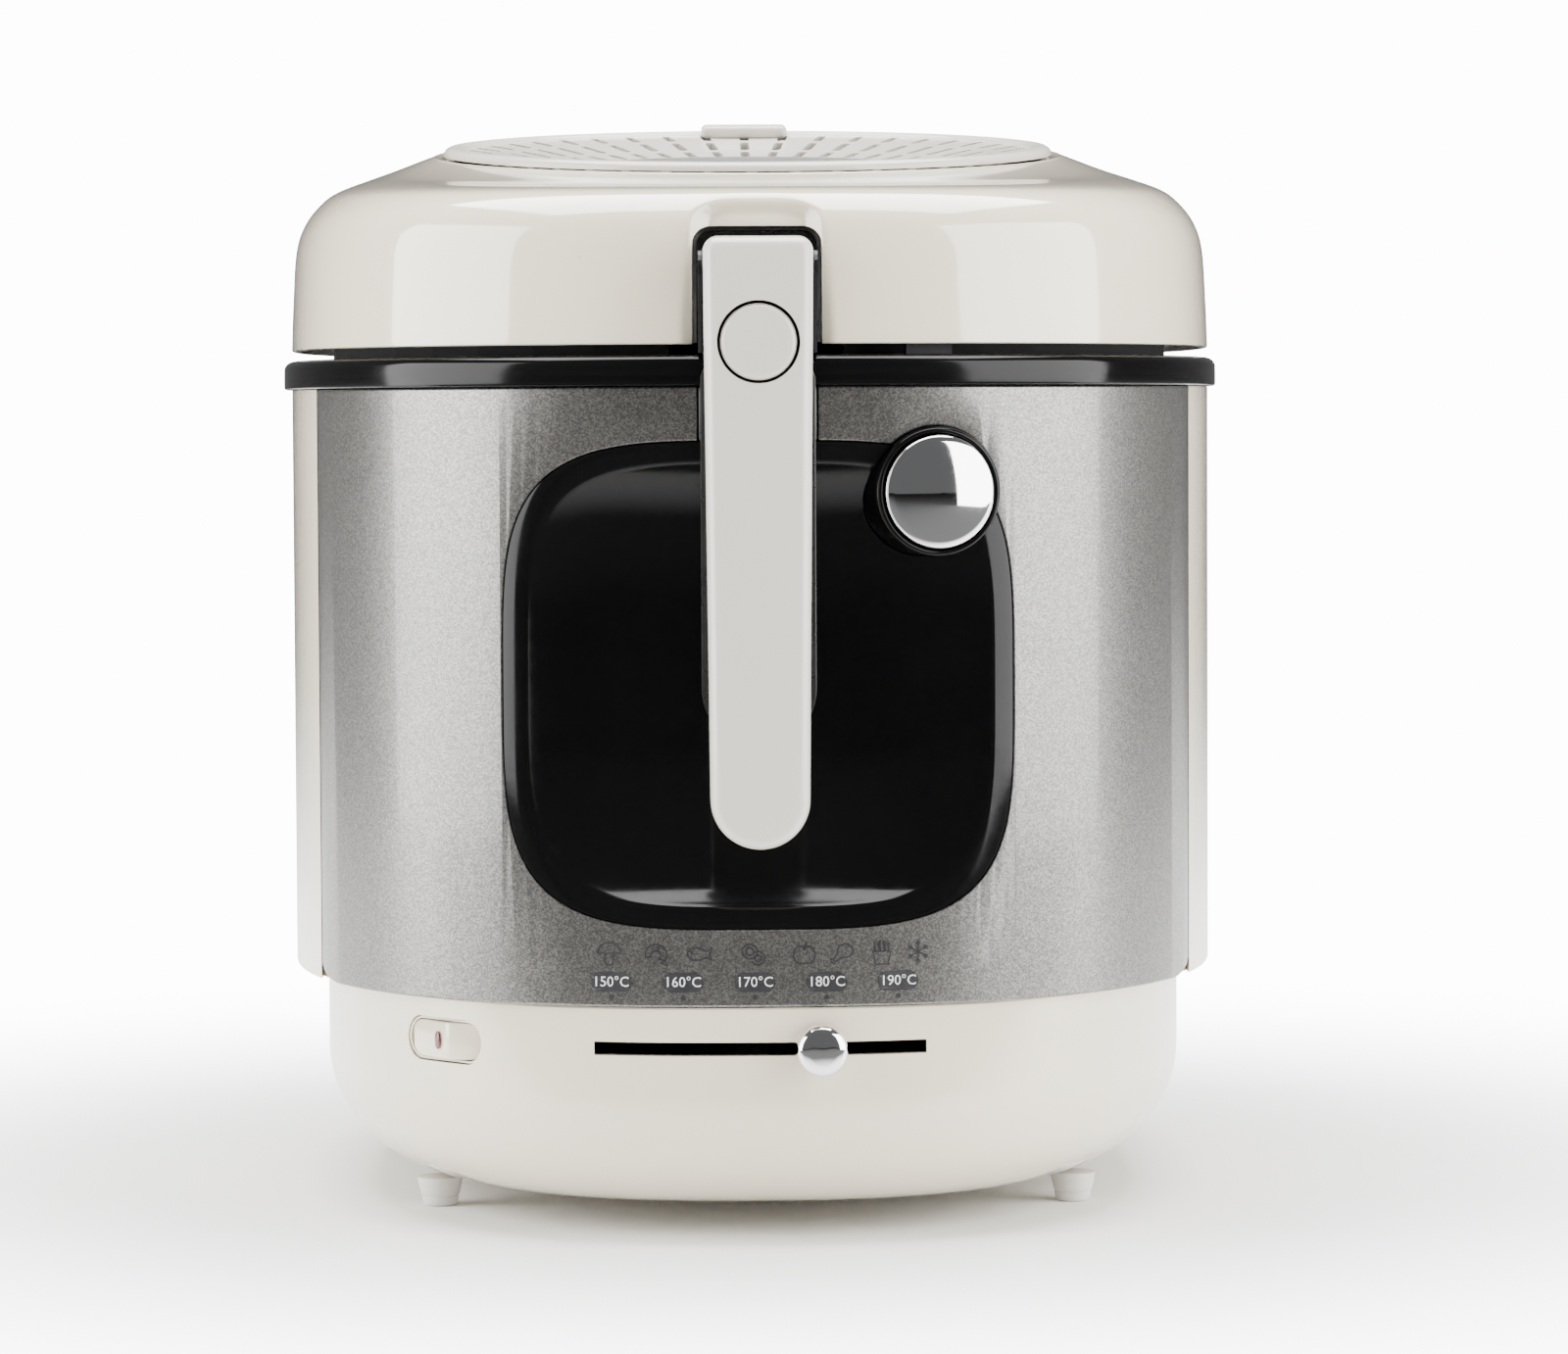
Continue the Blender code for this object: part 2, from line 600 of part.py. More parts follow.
def front_panel(mat, button_hole):
    """The metallic front skin, cut for the recess, the handle channel and the lid button."""
    obj = sector("front_panel", front_span(PANEL_HALF_WIDTH), 0, SHELL_WALL, SHELL_BOTTOM, SHELL_TOP, mat)
    front = -BODY_HALF_DEPTH - 0.02
    hole = prism("recess_hole_shape", upright(squircle(RECESS_HALF_WIDTH + GAP, RECESS_HALF_HEIGHT + GAP), front),
                 Vector((0, 0.05, 0)), mat)
    boolean(obj, hole)
    channel = block("channel_hole_shape", (-CHANNEL_HALF_WIDTH - GAP, front, RECESS_Z),
                    (CHANNEL_HALF_WIDTH + GAP, front + 0.05, SHELL_TOP + 0.01), mat)
    boolean(obj, channel)
    boolean(obj, button_hole)
    return obj


def recess_depth(share):
    """Depth of the recess below the panel, by distance from its middle: a bevelled rim, then a dish."""
    if share >= RECESS_RIM:
        return RECESS_RIM_DEPTH * (1 - share) / (1 - RECESS_RIM)
    return RECESS_RIM_DEPTH + (RECESS_DEPTH - RECESS_RIM_DEPTH) * (1 - (share / RECESS_RIM) ** 5)


def handle_recess(mat, button_hole):
    """The black dished plate behind the handle."""
    def loop(share, back):
        points = []
        for x, z in squircle(RECESS_HALF_WIDTH * share, RECESS_HALF_HEIGHT * share):
            bow = (surface_y(x) + BODY_HALF_DEPTH) * share ** 2
            points.append(Vector((x, -BODY_HALF_DEPTH + bow + recess_depth(share) + back, z)))
        return points

    shares = (0.3, 0.6, 0.78, 0.88, RECESS_RIM, 1.0)
    loops = [loop(share, 0) for share in shares] + [loop(share, RECESS_WALL) for share in reversed(shares)]
    obj = loft("handle_recess", loops, mat)
    boolean(obj, button_hole)
    return obj


def handle_channel(mat):
    """The short black channel between the recess and the ring, behind the handle."""
    low = RECESS_TOP + GAP
    obj = block("handle_channel", (-CHANNEL_HALF_WIDTH, -BODY_HALF_DEPTH + 0.0002, low),
                (CHANNEL_HALF_WIDTH, -BODY_HALF_DEPTH + CHANNEL_DEPTH, SHELL_TOP), mat, 0.0004, 1)
    return obj


def rim_ring(mat, hook_slot):
    """The black ring that caps the casing and carries the bowl."""
    step = BOWL_FLANGE + 0.0005
    loops = [
        plan_loop(BODY_HALF_WIDTH + RING_PROUD, BODY_HALF_DEPTH + RING_PROUD, RING_BOTTOM),
        plan_loop(BODY_HALF_WIDTH + RING_PROUD - 0.0004, BODY_HALF_DEPTH + RING_PROUD - 0.0004, RING_TOP - 0.003),
        plan_loop(BODY_HALF_WIDTH + RING_PROUD - 0.0014, BODY_HALF_DEPTH + RING_PROUD - 0.0014, RING_TOP - 0.0008),
        plan_loop(BODY_HALF_WIDTH, BODY_HALF_DEPTH, RING_TOP),
        plan_loop(BOWL_HALF_WIDTH + step, BOWL_HALF_DEPTH + step, RING_TOP),
        plan_loop(BOWL_HALF_WIDTH + step, BOWL_HALF_DEPTH + step, RING_SEAT),
        plan_loop(BOWL_HALF_WIDTH + 0.001, BOWL_HALF_DEPTH + 0.001, RING_SEAT),
        plan_loop(BOWL_HALF_WIDTH + 0.001, BOWL_HALF_DEPTH + 0.001, RING_BOTTOM),
    ]
    obj = loft("rim_ring", loops, mat, closed=True)
    boolean(obj, hook_slot)
    for i, x in enumerate(BRACKET_SCREWS):
        hole = rod(f"ring_hole_shape_{i}", (x, BRACKET_SCREW_Y, SHELL_TOP - 0.01),
                   (x, BRACKET_SCREW_Y, RING_TOP + 0.01), SCREW_RADIUS + GAP, mat, 12)
        boolean(obj, hole)
    return obj


# ---------------------------------------------------------------- bowl, heater and basket
def bowl(mat):
    """The removable aluminium bowl, hung by its flange on the ring."""
    seat = RING_SEAT + GAP
    top = seat + 0.0015

    def level(inset, z):
        return plan_loop(BOWL_HALF_WIDTH - inset, BOWL_HALF_DEPTH - inset, z)

    loops = [level(0.012, BOWL_BOTTOM), level(0.003, BOWL_BOTTOM + 0.005), level(0, BOWL_BOTTOM + 0.014),
             level(0, seat), level(-BOWL_FLANGE, seat), level(-BOWL_FLANGE, top), level(BOWL_WALL, top),
             level(BOWL_WALL, BOWL_BOTTOM + 0.0145), level(0.005, BOWL_BOTTOM + 0.0065),
             level(0.0135, BOWL_BOTTOM + BOWL_WALL)]
    return loft("bowl", loops, mat)


def heat_plate(mat):
    """The aluminium plate that spreads the heat under the bowl."""
    high = BOWL_BOTTOM - GAP
    wide, deep = BOWL_HALF_WIDTH - PLATE_SIDE_INSET, BOWL_HALF_DEPTH - PLATE_END_INSET
    loops = [plan_loop(wide - 0.002, deep - 0.002, high - PLATE_THICKNESS, steps=LARGE_STEPS),
             plan_loop(wide, deep, high - PLATE_THICKNESS + 0.001, steps=LARGE_STEPS),
             plan_loop(wide, deep, high, steps=LARGE_STEPS)]
    return loft("heat_plate", loops, mat)


def heating_element(mat):
    """A horseshoe tube pressed against the plate, its cold ends turned down at the rear."""
    z = BOWL_BOTTOM - GAP - PLATE_THICKNESS - GAP - ELEMENT_RADIUS
    wide, deep = BOWL_HALF_WIDTH - ELEMENT_SIDE_INSET, BOWL_HALF_DEPTH - ELEMENT_END_INSET
    points = []
    for i in range(27):
        a = math.radians(105 + 330 * i / 26)
        points.append((wide * math.cos(a), deep * math.sin(a), z))
    return tube("heating_element", points, ELEMENT_RADIUS, mat)


def heat_shield(mat):
    """The steel pan that keeps the heat out of the base, resting on the casing's flange."""
    hole = SIDE_STEP + 0.006
    seat = SHELL_BOTTOM + SHELL_WALL + GAP
    wall, drop = SHIELD_WALL, SHIELD_DEPTH

    def level(inset, z):
        return plan_loop(BODY_HALF_WIDTH - hole - inset, BODY_HALF_DEPTH - hole - inset, z)

    loops = [level(0.008, seat - drop), level(0.0015, seat), level(-0.005, seat), level(-0.005, seat + wall),
             level(0.0022, seat + wall), level(0.0087, seat - drop + wall)]
    return loft("heat_shield", loops, mat)


def thermal_fuse(mat):
    """The safety cut-out clipped under the plate's middle."""
    high = BOWL_BOTTOM - GAP - PLATE_THICKNESS - GAP
    profile = [(0, high - 0.006), (0.0062, high - 0.006), (0.007, high - 0.0052), (0.007, high), (0, high)]
    return turned("thermal_fuse", profile, mat)


def basket(mat):
    """The basket as a thin open tub."""
    def level(inset, z):
        return plan_loop(BASKET_HALF_WIDTH - inset, BASKET_HALF_DEPTH - inset, z)

    taper, wall = BASKET_TAPER, BASKET_WALL
    loops = [level(taper + 0.006, BASKET_BOTTOM), level(taper, BASKET_BOTTOM + 0.006), level(0, BASKET_TOP),
             level(wall, BASKET_TOP), level(taper + wall, BASKET_BOTTOM + 0.0065),
             level(taper + 0.0075, BASKET_BOTTOM + wall)]
    return loft("basket", loops, mat)


def basket_bracket(mat):
    """The steel hanger on the basket's front, which slides on the guide."""
    front = -GUIDE_Y + 0.0006
    rim = BASKET_TOP + GAP
    outline = [(front, BASKET_TOP - 0.052), (front, rim + 0.0015), (-BASKET_HALF_DEPTH + 0.0018, rim + 0.0015),
               (-BASKET_HALF_DEPTH + 0.0018, rim), (front + 0.0016, rim), (front + 0.0016, BASKET_TOP - 0.052)]
    points = [Vector((-GUIDE_HALF_WIDTH, y, z)) for y, z in outline]
    return prism("basket_bracket", points, Vector((2 * GUIDE_HALF_WIDTH, 0, 0)), mat)


def handle_bracket(mat):
    """The bracket over the ring: two ears for the handle outside, and the basket's guide inside."""
    ear = arc((PIVOT_Y, PIVOT_Z), EAR_RADIUS, 20, 200, 8)
    front, rear = -BODY_HALF_DEPTH - BRACKET_AHEAD, -BODY_HALF_DEPTH + BRACKET_LAP
    outline = [(front, BRACKET_LOW), (-GUIDE_Y - GUIDE_WALL, BRACKET_LOW), (-GUIDE_Y - GUIDE_WALL, GUIDE_BOTTOM),
               (-GUIDE_Y, GUIDE_BOTTOM), (-GUIDE_Y, BRACKET_HIGH), (rear, BRACKET_HIGH)] + ear
    points = [Vector((-EAR_OUTER, y, z)) for y, z in outline]
    obj = prism("handle_bracket", points, Vector((2 * EAR_OUTER, 0, 0)), mat)
    back = -HANDLE_BACK + 0.0005
    far, over = -BODY_HALF_DEPTH - FAR, BRACKET_HIGH + FAR
    inside = -BODY_HALF_DEPTH + 0.025
    boolean(obj, block("ear_gap_shape", (-EAR_INNER, far, BRACKET_HIGH), (EAR_INNER, inside, over), mat))
    boolean(obj, block("handle_gap_shape", (-EAR_INNER, far, BRACKET_LOW - 0.01), (EAR_INNER, back, over), mat))
    for i, side in enumerate((-1, 1)):
        low = min(side * GUIDE_HALF_WIDTH, side * 0.04)
        high = max(side * GUIDE_HALF_WIDTH, side * 0.04)
        boolean(obj, block(f"guide_side_shape_{i}", (low, -GUIDE_Y - 0.0175, GUIDE_BOTTOM - 0.02),
                           (high, -GUIDE_Y + 0.0125, BRACKET_LOW - 0.001), mat))
    boolean(obj, rod("ear_hole_shape", (-0.04, PIVOT_Y, PIVOT_Z), (0.04, PIVOT_Y, PIVOT_Z),
                     PIVOT_PIN_RADIUS + GAP, mat))
    for i, x in enumerate(BRACKET_SCREWS):
        hole = rod(f"bracket_hole_shape_{i}", (x, BRACKET_SCREW_Y, RING_TOP - 0.01),
                   (x, BRACKET_SCREW_Y, RING_TOP + 0.02), SCREW_RADIUS + GAP, mat, 12)
        boolean(obj, hole)
    return obj


def bracket_screws(mat):
    """Two screws that hold the bracket down on the ring."""
    seat = BRACKET_HIGH + GAP
    profile = [(0, seat - 0.008), (SCREW_RADIUS, seat - 0.008), (SCREW_RADIUS, seat), (0.003, seat),
               (0.003, seat + 0.0008), (0.0022, seat + 0.0015), (0, seat + 0.0015)]
    for i, x in enumerate(BRACKET_SCREWS):
        screw = turned(f"bracket_screw_{i + 1}", profile, mat, 10)
        screw.location = (x, BRACKET_SCREW_Y, 0)


# ---------------------------------------------------------------- handle
def handle_outline(inset, low=HANDLE_BOTTOM):
    """Front view of the handle: a tapered bar with a full round lower end."""
    top = HANDLE_TOP - inset
    wide = HANDLE_HALF_WIDTH - inset
    narrow = wide - HANDLE_TAPER
    radius = max(HANDLE_CORNER - inset, 0.0006)
    points = arc((wide - radius, top - radius), radius, 0, 90, 4)
    points += arc((-wide + radius, top - radius), radius, 90, 180, 4)
    points += arc((0, low + inset + narrow), narrow, 180, 360, 14)
    return points


def handle_cover(mat):
    """The light cover of the handle: a bar with soft edges, hollow from behind."""
    back = -HANDLE_BACK - HANDLE_PLATE - GAP
    front = -HANDLE_FRONT
    pocket_low = HANDLE_BOTTOM + HANDLE_SOLID_END
    outer = [(0.0042, 0), (0.0020, 0.0005), (0.0006, 0.0019), (0, 0.0045)]
    loops = [upright(handle_outline(inset), front + depth) for inset, depth in outer]
    loops.append(upright(handle_outline(0), back))
    loops.append(upright(handle_outline(HANDLE_WALL, pocket_low), back))
    loops.append(upright(handle_outline(HANDLE_WALL, pocket_low), front + 0.005))
    loops.append(upright(handle_outline(HANDLE_WALL + 0.002, pocket_low), front + HANDLE_WALL))
    obj = loft("handle_cover", loops, mat)
    boolean(obj, rod("grip_hole_shape", (0, front - 0.01, GRIP_BUTTON_Z), (0, front + 0.006, GRIP_BUTTON_Z),
                     GRIP_BUTTON_RADIUS + 0.0004, mat))
    boolean(obj, rod("pivot_hole_shape", (-0.03, PIVOT_Y, PIVOT_Z), (0.03, PIVOT_Y, PIVOT_Z),
                     PIVOT_PIN_RADIUS + GAP, mat))
    return obj


def handle_back(mat):
    """The black back of the handle, a little wider than the cover below the ears."""
    low, shoulder, top = HANDLE_BOTTOM + 0.0291, SHELL_TOP + 0.0025, HANDLE_TOP - 0.0035
    wide, narrow = HANDLE_HALF_WIDTH + 0.0008, HANDLE_HALF_WIDTH - 0.0003
    outline = [(narrow, shoulder + 0.003), (narrow, top), (-narrow, top), (-narrow, shoulder + 0.003),
               (-wide, shoulder)]
    outline += arc((0, low + wide), wide, 180, 360, 12)
    outline.append((wide, shoulder))
    back = -HANDLE_BACK
    return prism("handle_back", upright(outline, back - HANDLE_PLATE), Vector((0, HANDLE_PLATE, 0)), mat)


def handle_button(mat):
    """The round button that unlocks the fold."""
    front = -HANDLE_FRONT - 0.0006
    radius = GRIP_BUTTON_RADIUS
    profile = [(0, 0), (radius * 0.7, 0.0001), (radius - 0.0006, 0.0004), (radius, 0.001), (radius, 0.0042),
               (0.0028, 0.0042), (0.0028, 0.0075), (0, 0.0075)]
    obj = turned("handle_button", profile, mat)
    apply_turn(obj, Matrix.Translation((0, front, GRIP_BUTTON_Z)) @ Matrix.Rotation(-math.pi / 2, 4, "X"))
    return obj


def handle_button_spring(mat):
    """The spring between the grip button and the handle's back."""
    start = -HANDLE_FRONT - 0.0006 + 0.0042 + GAP
    end = -HANDLE_BACK - HANDLE_PLATE - GAP
    frame = Matrix.Translation((0, start, GRIP_BUTTON_Z)) @ Matrix.Rotation(-math.pi / 2, 4, "X")
    return coil("handle_button_spring", frame, GRIP_SPRING_RADIUS, SPRING_WIRE, end - start, 4, mat)


# ---------------------------------------------------------------- lid release
def button_frame():
    return front_matrix(LID_BUTTON_X, LID_BUTTON_Z)


def button_hole_shape(mat):
    obj = rod("button_hole_shape", (0, 0, -0.03), (0, 0, 0.03), COLLAR_RADIUS + GAP, mat, 24)
    apply_turn(obj, button_frame())
    return obj


def button_collar(mat):
    """The black cup that holds the lid button."""
    bore = LID_BUTTON_RADIUS + 0.0004
    profile = [(0.006, -COLLAR_DEPTH), (COLLAR_RADIUS, -COLLAR_DEPTH), (COLLAR_RADIUS, COLLAR_PROUD - 0.0008),
               (COLLAR_RADIUS - 0.0006, COLLAR_PROUD), (bore, COLLAR_PROUD), (bore, -COLLAR_DEPTH + COLLAR_FLOOR),
               (0.006, -COLLAR_DEPTH + COLLAR_FLOOR)]
    obj = turned("button_collar", profile, mat, 24)
    apply_turn(obj, button_frame())
    return obj


def lid_button(mat):
    """The bright domed button with its stem."""
    radius = LID_BUTTON_RADIUS
    rim = COLLAR_PROUD + 0.0008
    profile = [(0, -0.0185), (BUTTON_STEM, -0.0185), (BUTTON_STEM, -0.0034), (radius, -0.0034), (radius, rim),
               (radius - 0.0008, rim + 0.0009), (radius * 0.6, rim + 0.0022), (radius * 0.25, rim + 0.0027),
               (0, rim + 0.0028)]
    obj = turned("lid_button", profile, mat, 24)
    apply_turn(obj, button_frame())
    return obj


def lid_button_spring(mat):
    """The return spring behind the lid button."""
    start = -COLLAR_DEPTH + COLLAR_FLOOR + GAP
    frame = button_frame() @ Matrix.Translation((0, 0, start))
    return coil("lid_button_spring", frame, LID_SPRING_RADIUS, SPRING_WIRE, -0.0034 - GAP - start, 2.5, mat)


def latch_hook(mat):
    """The cranked hook on the button's stem, whose nose reaches up to the keeper."""
    face, thick = HOOK_FACE, HOOK_THICKNESS
    tail = 0.0185 + GAP
    crank = SHELL_TOP - 0.006
    nose = KEEPER_INNER + 0.0005
    outline = [(tail, LID_BUTTON_Z - 0.006), (tail, crank - 0.004), (face, crank), (face, HOOK_TOP - 0.003),
               (nose, HOOK_TOP - 0.0028), (nose, HOOK_TOP - 0.0012), (face, HOOK_TOP), (face + thick, HOOK_TOP),
               (face + thick, crank + 0.0018), (tail + thick, crank - 0.0022), (tail + thick, LID_BUTTON_Z - 0.006)]
    points = [Vector((-HOOK_WIDTH / 2, v - LID_BUTTON_Z, -u)) for u, v in outline]
    obj = prism("latch_hook", points, Vector((HOOK_WIDTH, 0, 0)), mat)
    apply_turn(obj, button_frame())
    return obj


def hook_slot_shape(mat):
    reach = HOOK_FACE + HOOK_THICKNESS + BUTTON_TRAVEL + 0.0006
    obj = block("hook_slot_shape", (-HOOK_WIDTH / 2 - 0.0005, 0.02, -reach),
                (HOOK_WIDTH / 2 + 0.0005, 0.06, -HOOK_FACE + 0.0008), mat)
    apply_turn(obj, button_frame())
    return obj


def latch_keeper(mat):
    """The steel catch inside the lid's front edge."""
    low = LID_BOTTOM + 0.0002 - LID_BUTTON_Z
    obj = block("latch_keeper", (-HOOK_WIDTH / 2, low, -KEEPER_INNER),
                (HOOK_WIDTH / 2, low + 0.0022, -KEEPER_INNER + 0.001), mat)
    apply_turn(obj, button_frame())
    return obj


# ---------------------------------------------------------------- lid
def lid_loop(station, wall=0.0):
    """One outline of the lid, moved inwards and down by the wall."""
    wide, deep, z, tilt, power = station
    z += LID_BOTTOM
    slope = min(wide / 0.030, 1.0)
    side = wall * (1 - 0.75 * slope)
    drop = wall * slope
    return plan_loop(BODY_HALF_WIDTH - wide - side, BODY_HALF_DEPTH - deep - side, z - drop, power, tilt * LID_TILT)


def lid_shell(mat):
    """The white lid: an upright wall, a soft shoulder and a sloping seat for the filter cover."""
    seat = (FILTER_RADIUS + FILTER_SEAT, FILTER_RADIUS - FILTER_SEAT)
    outer = [lid_loop(station) for station in LID_LEVELS]
    outer += [plan_loop(r, r, LID_CROWN, 2.0, LID_TILT) for r in seat]
    inner = [plan_loop(r, r, LID_CROWN - LID_WALL, 2.0, LID_TILT) for r in reversed(seat)]
    inner += [lid_loop(station, LID_WALL) for station in reversed(LID_LEVELS)]
    obj = loft("lid_shell", outer + inner, mat, closed=True)
    boolean(obj, notch_solid("notch_shape", 0, LID_BOTTOM - 0.01, -BODY_HALF_DEPTH - FAR, NOTCH_BACK, mat))
    return obj


def notch_solid(name, inset, low, front, back, mat):
    """A prism with the notch's outline: upright sides and rounded top corners."""
    wide, top, radius = NOTCH_HALF_WIDTH - inset, NOTCH_TOP - inset, NOTCH_CORNER - inset
    outline = [(-wide, low), (wide, low)]
    outline += arc((wide - radius, top - radius), radius, 0, 90, 5)
    outline += arc((-wide + radius, top - radius), radius, 90, 180, 5)
    return prism(name, upright(outline, front), Vector((0, back - front, 0)), mat)


def notch_liner(mat):
    """The black niche that lines the notch around the top of the handle."""
    back = NOTCH_BACK - GAP
    obj = notch_solid("notch_liner", GAP, LID_BOTTOM + 0.0002, -BODY_HALF_DEPTH - 0.0006, back, mat)
    boolean(obj, notch_solid("niche_shape", GAP + LINER_WALL, LID_BOTTOM - 0.01, -BODY_HALF_DEPTH - FAR,
                             back - LINER_BACK, mat))
    return obj


def lid_inner_panel(mat):
    """The pale inner skin of the lid, which carries the seal and the filter."""
    wall, lap = LINING_WALL, LINING_CUP_LAP

    def loop(level, lift):
        wide, deep, z, tilt, power = level
        return plan_loop(BOWL_HALF_WIDTH + wide, BOWL_HALF_DEPTH + deep, LID_BOTTOM + z + lift, power,
                         tilt * LID_TILT)

    cup = LID_CROWN - LINING_CUP_DROP
    rings = (CARTRIDGE_RADIUS + lap, CARTRIDGE_RADIUS - lap)
    lower = [loop(level, 0) for level in LINING_LEVELS] + [plan_loop(r, r, cup, 2, LID_TILT) for r in rings]
    upper = [plan_loop(r, r, cup + wall, 2, LID_TILT) for r in reversed(rings)]
    upper += [loop(level, wall) for level in reversed(LINING_LEVELS)]
    obj = loft("lid_inner_panel", lower + upper, mat, closed=True)
    gap = NOTCH_HALF_WIDTH + 0.001
    boolean(obj, block("panel_notch_shape", (-gap, -BODY_HALF_DEPTH - FAR, LID_BOTTOM - 0.02),
                       (gap, NOTCH_BACK + 0.0005, LID_CROWN), mat))
    return obj


def lid_gasket(mat):
    """The dark seal between the inner skin and the bowl, open where the bracket passes."""
    low, high = RING_SEAT + GAP + 0.0015 + GAP, LID_BOTTOM + LINING_LEVELS[0][2]
    loops = []
    gap = math.asin(0.021 / (BOWL_HALF_DEPTH + 0.005)) / (2 * math.pi)
    for i in range(OUTLINE_STEPS + 1):
        turn = 0.75 + gap + (1 - 2 * gap) * i / OUTLINE_STEPS
        outer = outline_point(BOWL_HALF_WIDTH + 0.0055, BOWL_HALF_DEPTH + 0.0055, BODY_POWER, turn)
        inner = outline_point(BOWL_HALF_WIDTH + 0.0020, BOWL_HALF_DEPTH + 0.0020, BODY_POWER, turn)
        loops.append([Vector((*outer, low)), Vector((*outer, high)), Vector((*inner, high)), Vector((*inner, low))])
    return loft("lid_gasket", loops, mat)


def crown_frame():
    """Frame on the lid's sloping top: local Z along its normal."""
    return Matrix.Translation((0, 0, LID_CROWN)) @ Matrix.Rotation(math.atan(LID_TILT), 4, "X")


def filter_cover(mat):
    """The round dished cover over the filter."""
    r, wall = FILTER_RADIUS, FILTER_THICKNESS
    flat = r - FILTER_FLAT
    under = -FILTER_DISH - wall
    profile = [(0, -FILTER_DISH), (flat, -FILTER_DISH + 0.0002), (flat + 0.004, -FILTER_DISH + 0.0008),
               (r - 0.006, 0.0018), (r - 0.0045, 0.0030), (r - 0.001, 0.0028), (r, GAP), (r - 0.0075, GAP),
               (flat + 0.004, under + 0.0008), (0, under)]
    obj = turned("filter_cover", list(reversed(profile)), mat, LARGE_STEPS)
    tab = block("cover_tab_shape", (-TAB_HALF_WIDTH, r - 0.011, GAP + 0.0008),
                (TAB_HALF_WIDTH, r - 0.0005, TAB_HEIGHT), mat, 0.0015)
    boolean(obj, tab, "UNION")
    for piece in (obj, tab):
        apply_turn(piece, crown_frame())
    return obj


def filter_cartridge(mat):
    """The round grease filter under the cover."""
    r, low = CARTRIDGE_RADIUS, -CARTRIDGE_DROP
    profile = [(0, low), (r - 0.001, low), (r, low + 0.001), (r, low + CARTRIDGE_HEIGHT), (0, low + CARTRIDGE_HEIGHT)]
    obj = turned("filter_cartridge", profile, mat, LARGE_STEPS)
    apply_turn(obj, crown_frame())
    return obj


# ---------------------------------------------------------------- hinge
def hinge_outline(low, high, front):
    """Side view of a hinge leaf: a knuckle and a web along the wall."""
    return arc((HINGE_Y, HINGE_Z), HINGE_RADIUS, low, high, 10) + front


def hinge_base(mat):
    """The black block on the rear wall with the two outer knuckles."""
    wall = BODY_HALF_DEPTH + GAP
    clear = BODY_HALF_DEPTH + RING_PROUD + GAP
    under = RING_BOTTOM - 0.001
    web = [(clear, HINGE_Z - 0.004), (clear, under), (wall, under), (wall, SHELL_TOP - 0.030),
           (HINGE_Y - 0.003, SHELL_TOP - 0.026), (HINGE_Y + 0.004, SHELL_TOP - 0.002)]
    points = [Vector((-HINGE_REACH, y, z)) for y, z in hinge_outline(-20, 200, web)]
    obj = prism("hinge_base", points, Vector((2 * HINGE_REACH, 0, 0)), mat)
    gap = HINGE_HALF + GAP
    boolean(obj, block("knuckle_gap_shape", (-gap, BODY_HALF_DEPTH - 0.005, HINGE_Z - HINGE_RADIUS - 0.001),
                       (gap, BODY_HALF_DEPTH + FAR, HINGE_Z + FAR), mat))
    boolean(obj, hinge_bore("hinge_bore_base", mat))
    return obj


def hinge_bore(name, mat):
    return rod(name, (-FAR, HINGE_Y, HINGE_Z), (FAR, HINGE_Y, HINGE_Z), HINGE_PIN_RADIUS + GAP, mat)


def lid_hinge_arm(mat):
    """The lid's knuckle with its arm up the rear wall."""
    wall = BODY_HALF_DEPTH + GAP
    web = [(wall + 0.0045, LID_BOTTOM + 0.0277), (wall, LID_BOTTOM + 0.0297), (wall, LID_BOTTOM + 0.001)]
    points = [Vector((-HINGE_HALF, y, z)) for y, z in hinge_outline(-160, 60, web)]
    obj = prism("lid_hinge_arm", points, Vector((2 * HINGE_HALF, 0, 0)), mat)
    boolean(obj, hinge_bore("hinge_bore_arm", mat))
    return obj


def hinge_pin(mat):
    """The steel pin through the hinge's knuckles."""
    return rod("hinge_pin", (-HINGE_REACH, HINGE_Y, HINGE_Z), (HINGE_REACH, HINGE_Y, HINGE_Z), HINGE_PIN_RADIUS,
               mat)


def handle_pin(mat):
    """The steel pin on which the handle folds."""
    return rod("handle_pin", (-EAR_OUTER, PIVOT_Y, PIVOT_Z), (EAR_OUTER, PIVOT_Y, PIVOT_Z), PIVOT_PIN_RADIUS,
               mat)


# ---------------------------------------------------------------- controls
def slider_turn():
    """Turn of the temperature slider at rest, about the arc's centre."""
    return Matrix.Translation((0, SLIDER_CENTRE_Y, SLOT_Z)) @ Matrix.Rotation(math.asin(KNOB_X / SLIDER_ARC), 4, "Z")


def temperature_knob(mat):
    """The bright knob that runs along the slot."""
    r, length = KNOB_RADIUS, KNOB_LENGTH
    profile = [(0, 0), (r - 0.0005, 0), (r, 0.0005), (r, length - 0.0022), (r - 0.0006, length - 0.0014),
               (r * 0.6, length - 0.0004), (0, length)]
    obj = turned("temperature_knob", profile, mat)
    out = Matrix.Translation((0, -SLIDER_ARC - SLIDER_PROUD, 0)) @ Matrix.Rotation(math.pi / 2, 4, "X")
    apply_turn(obj, slider_turn() @ out)
    return obj


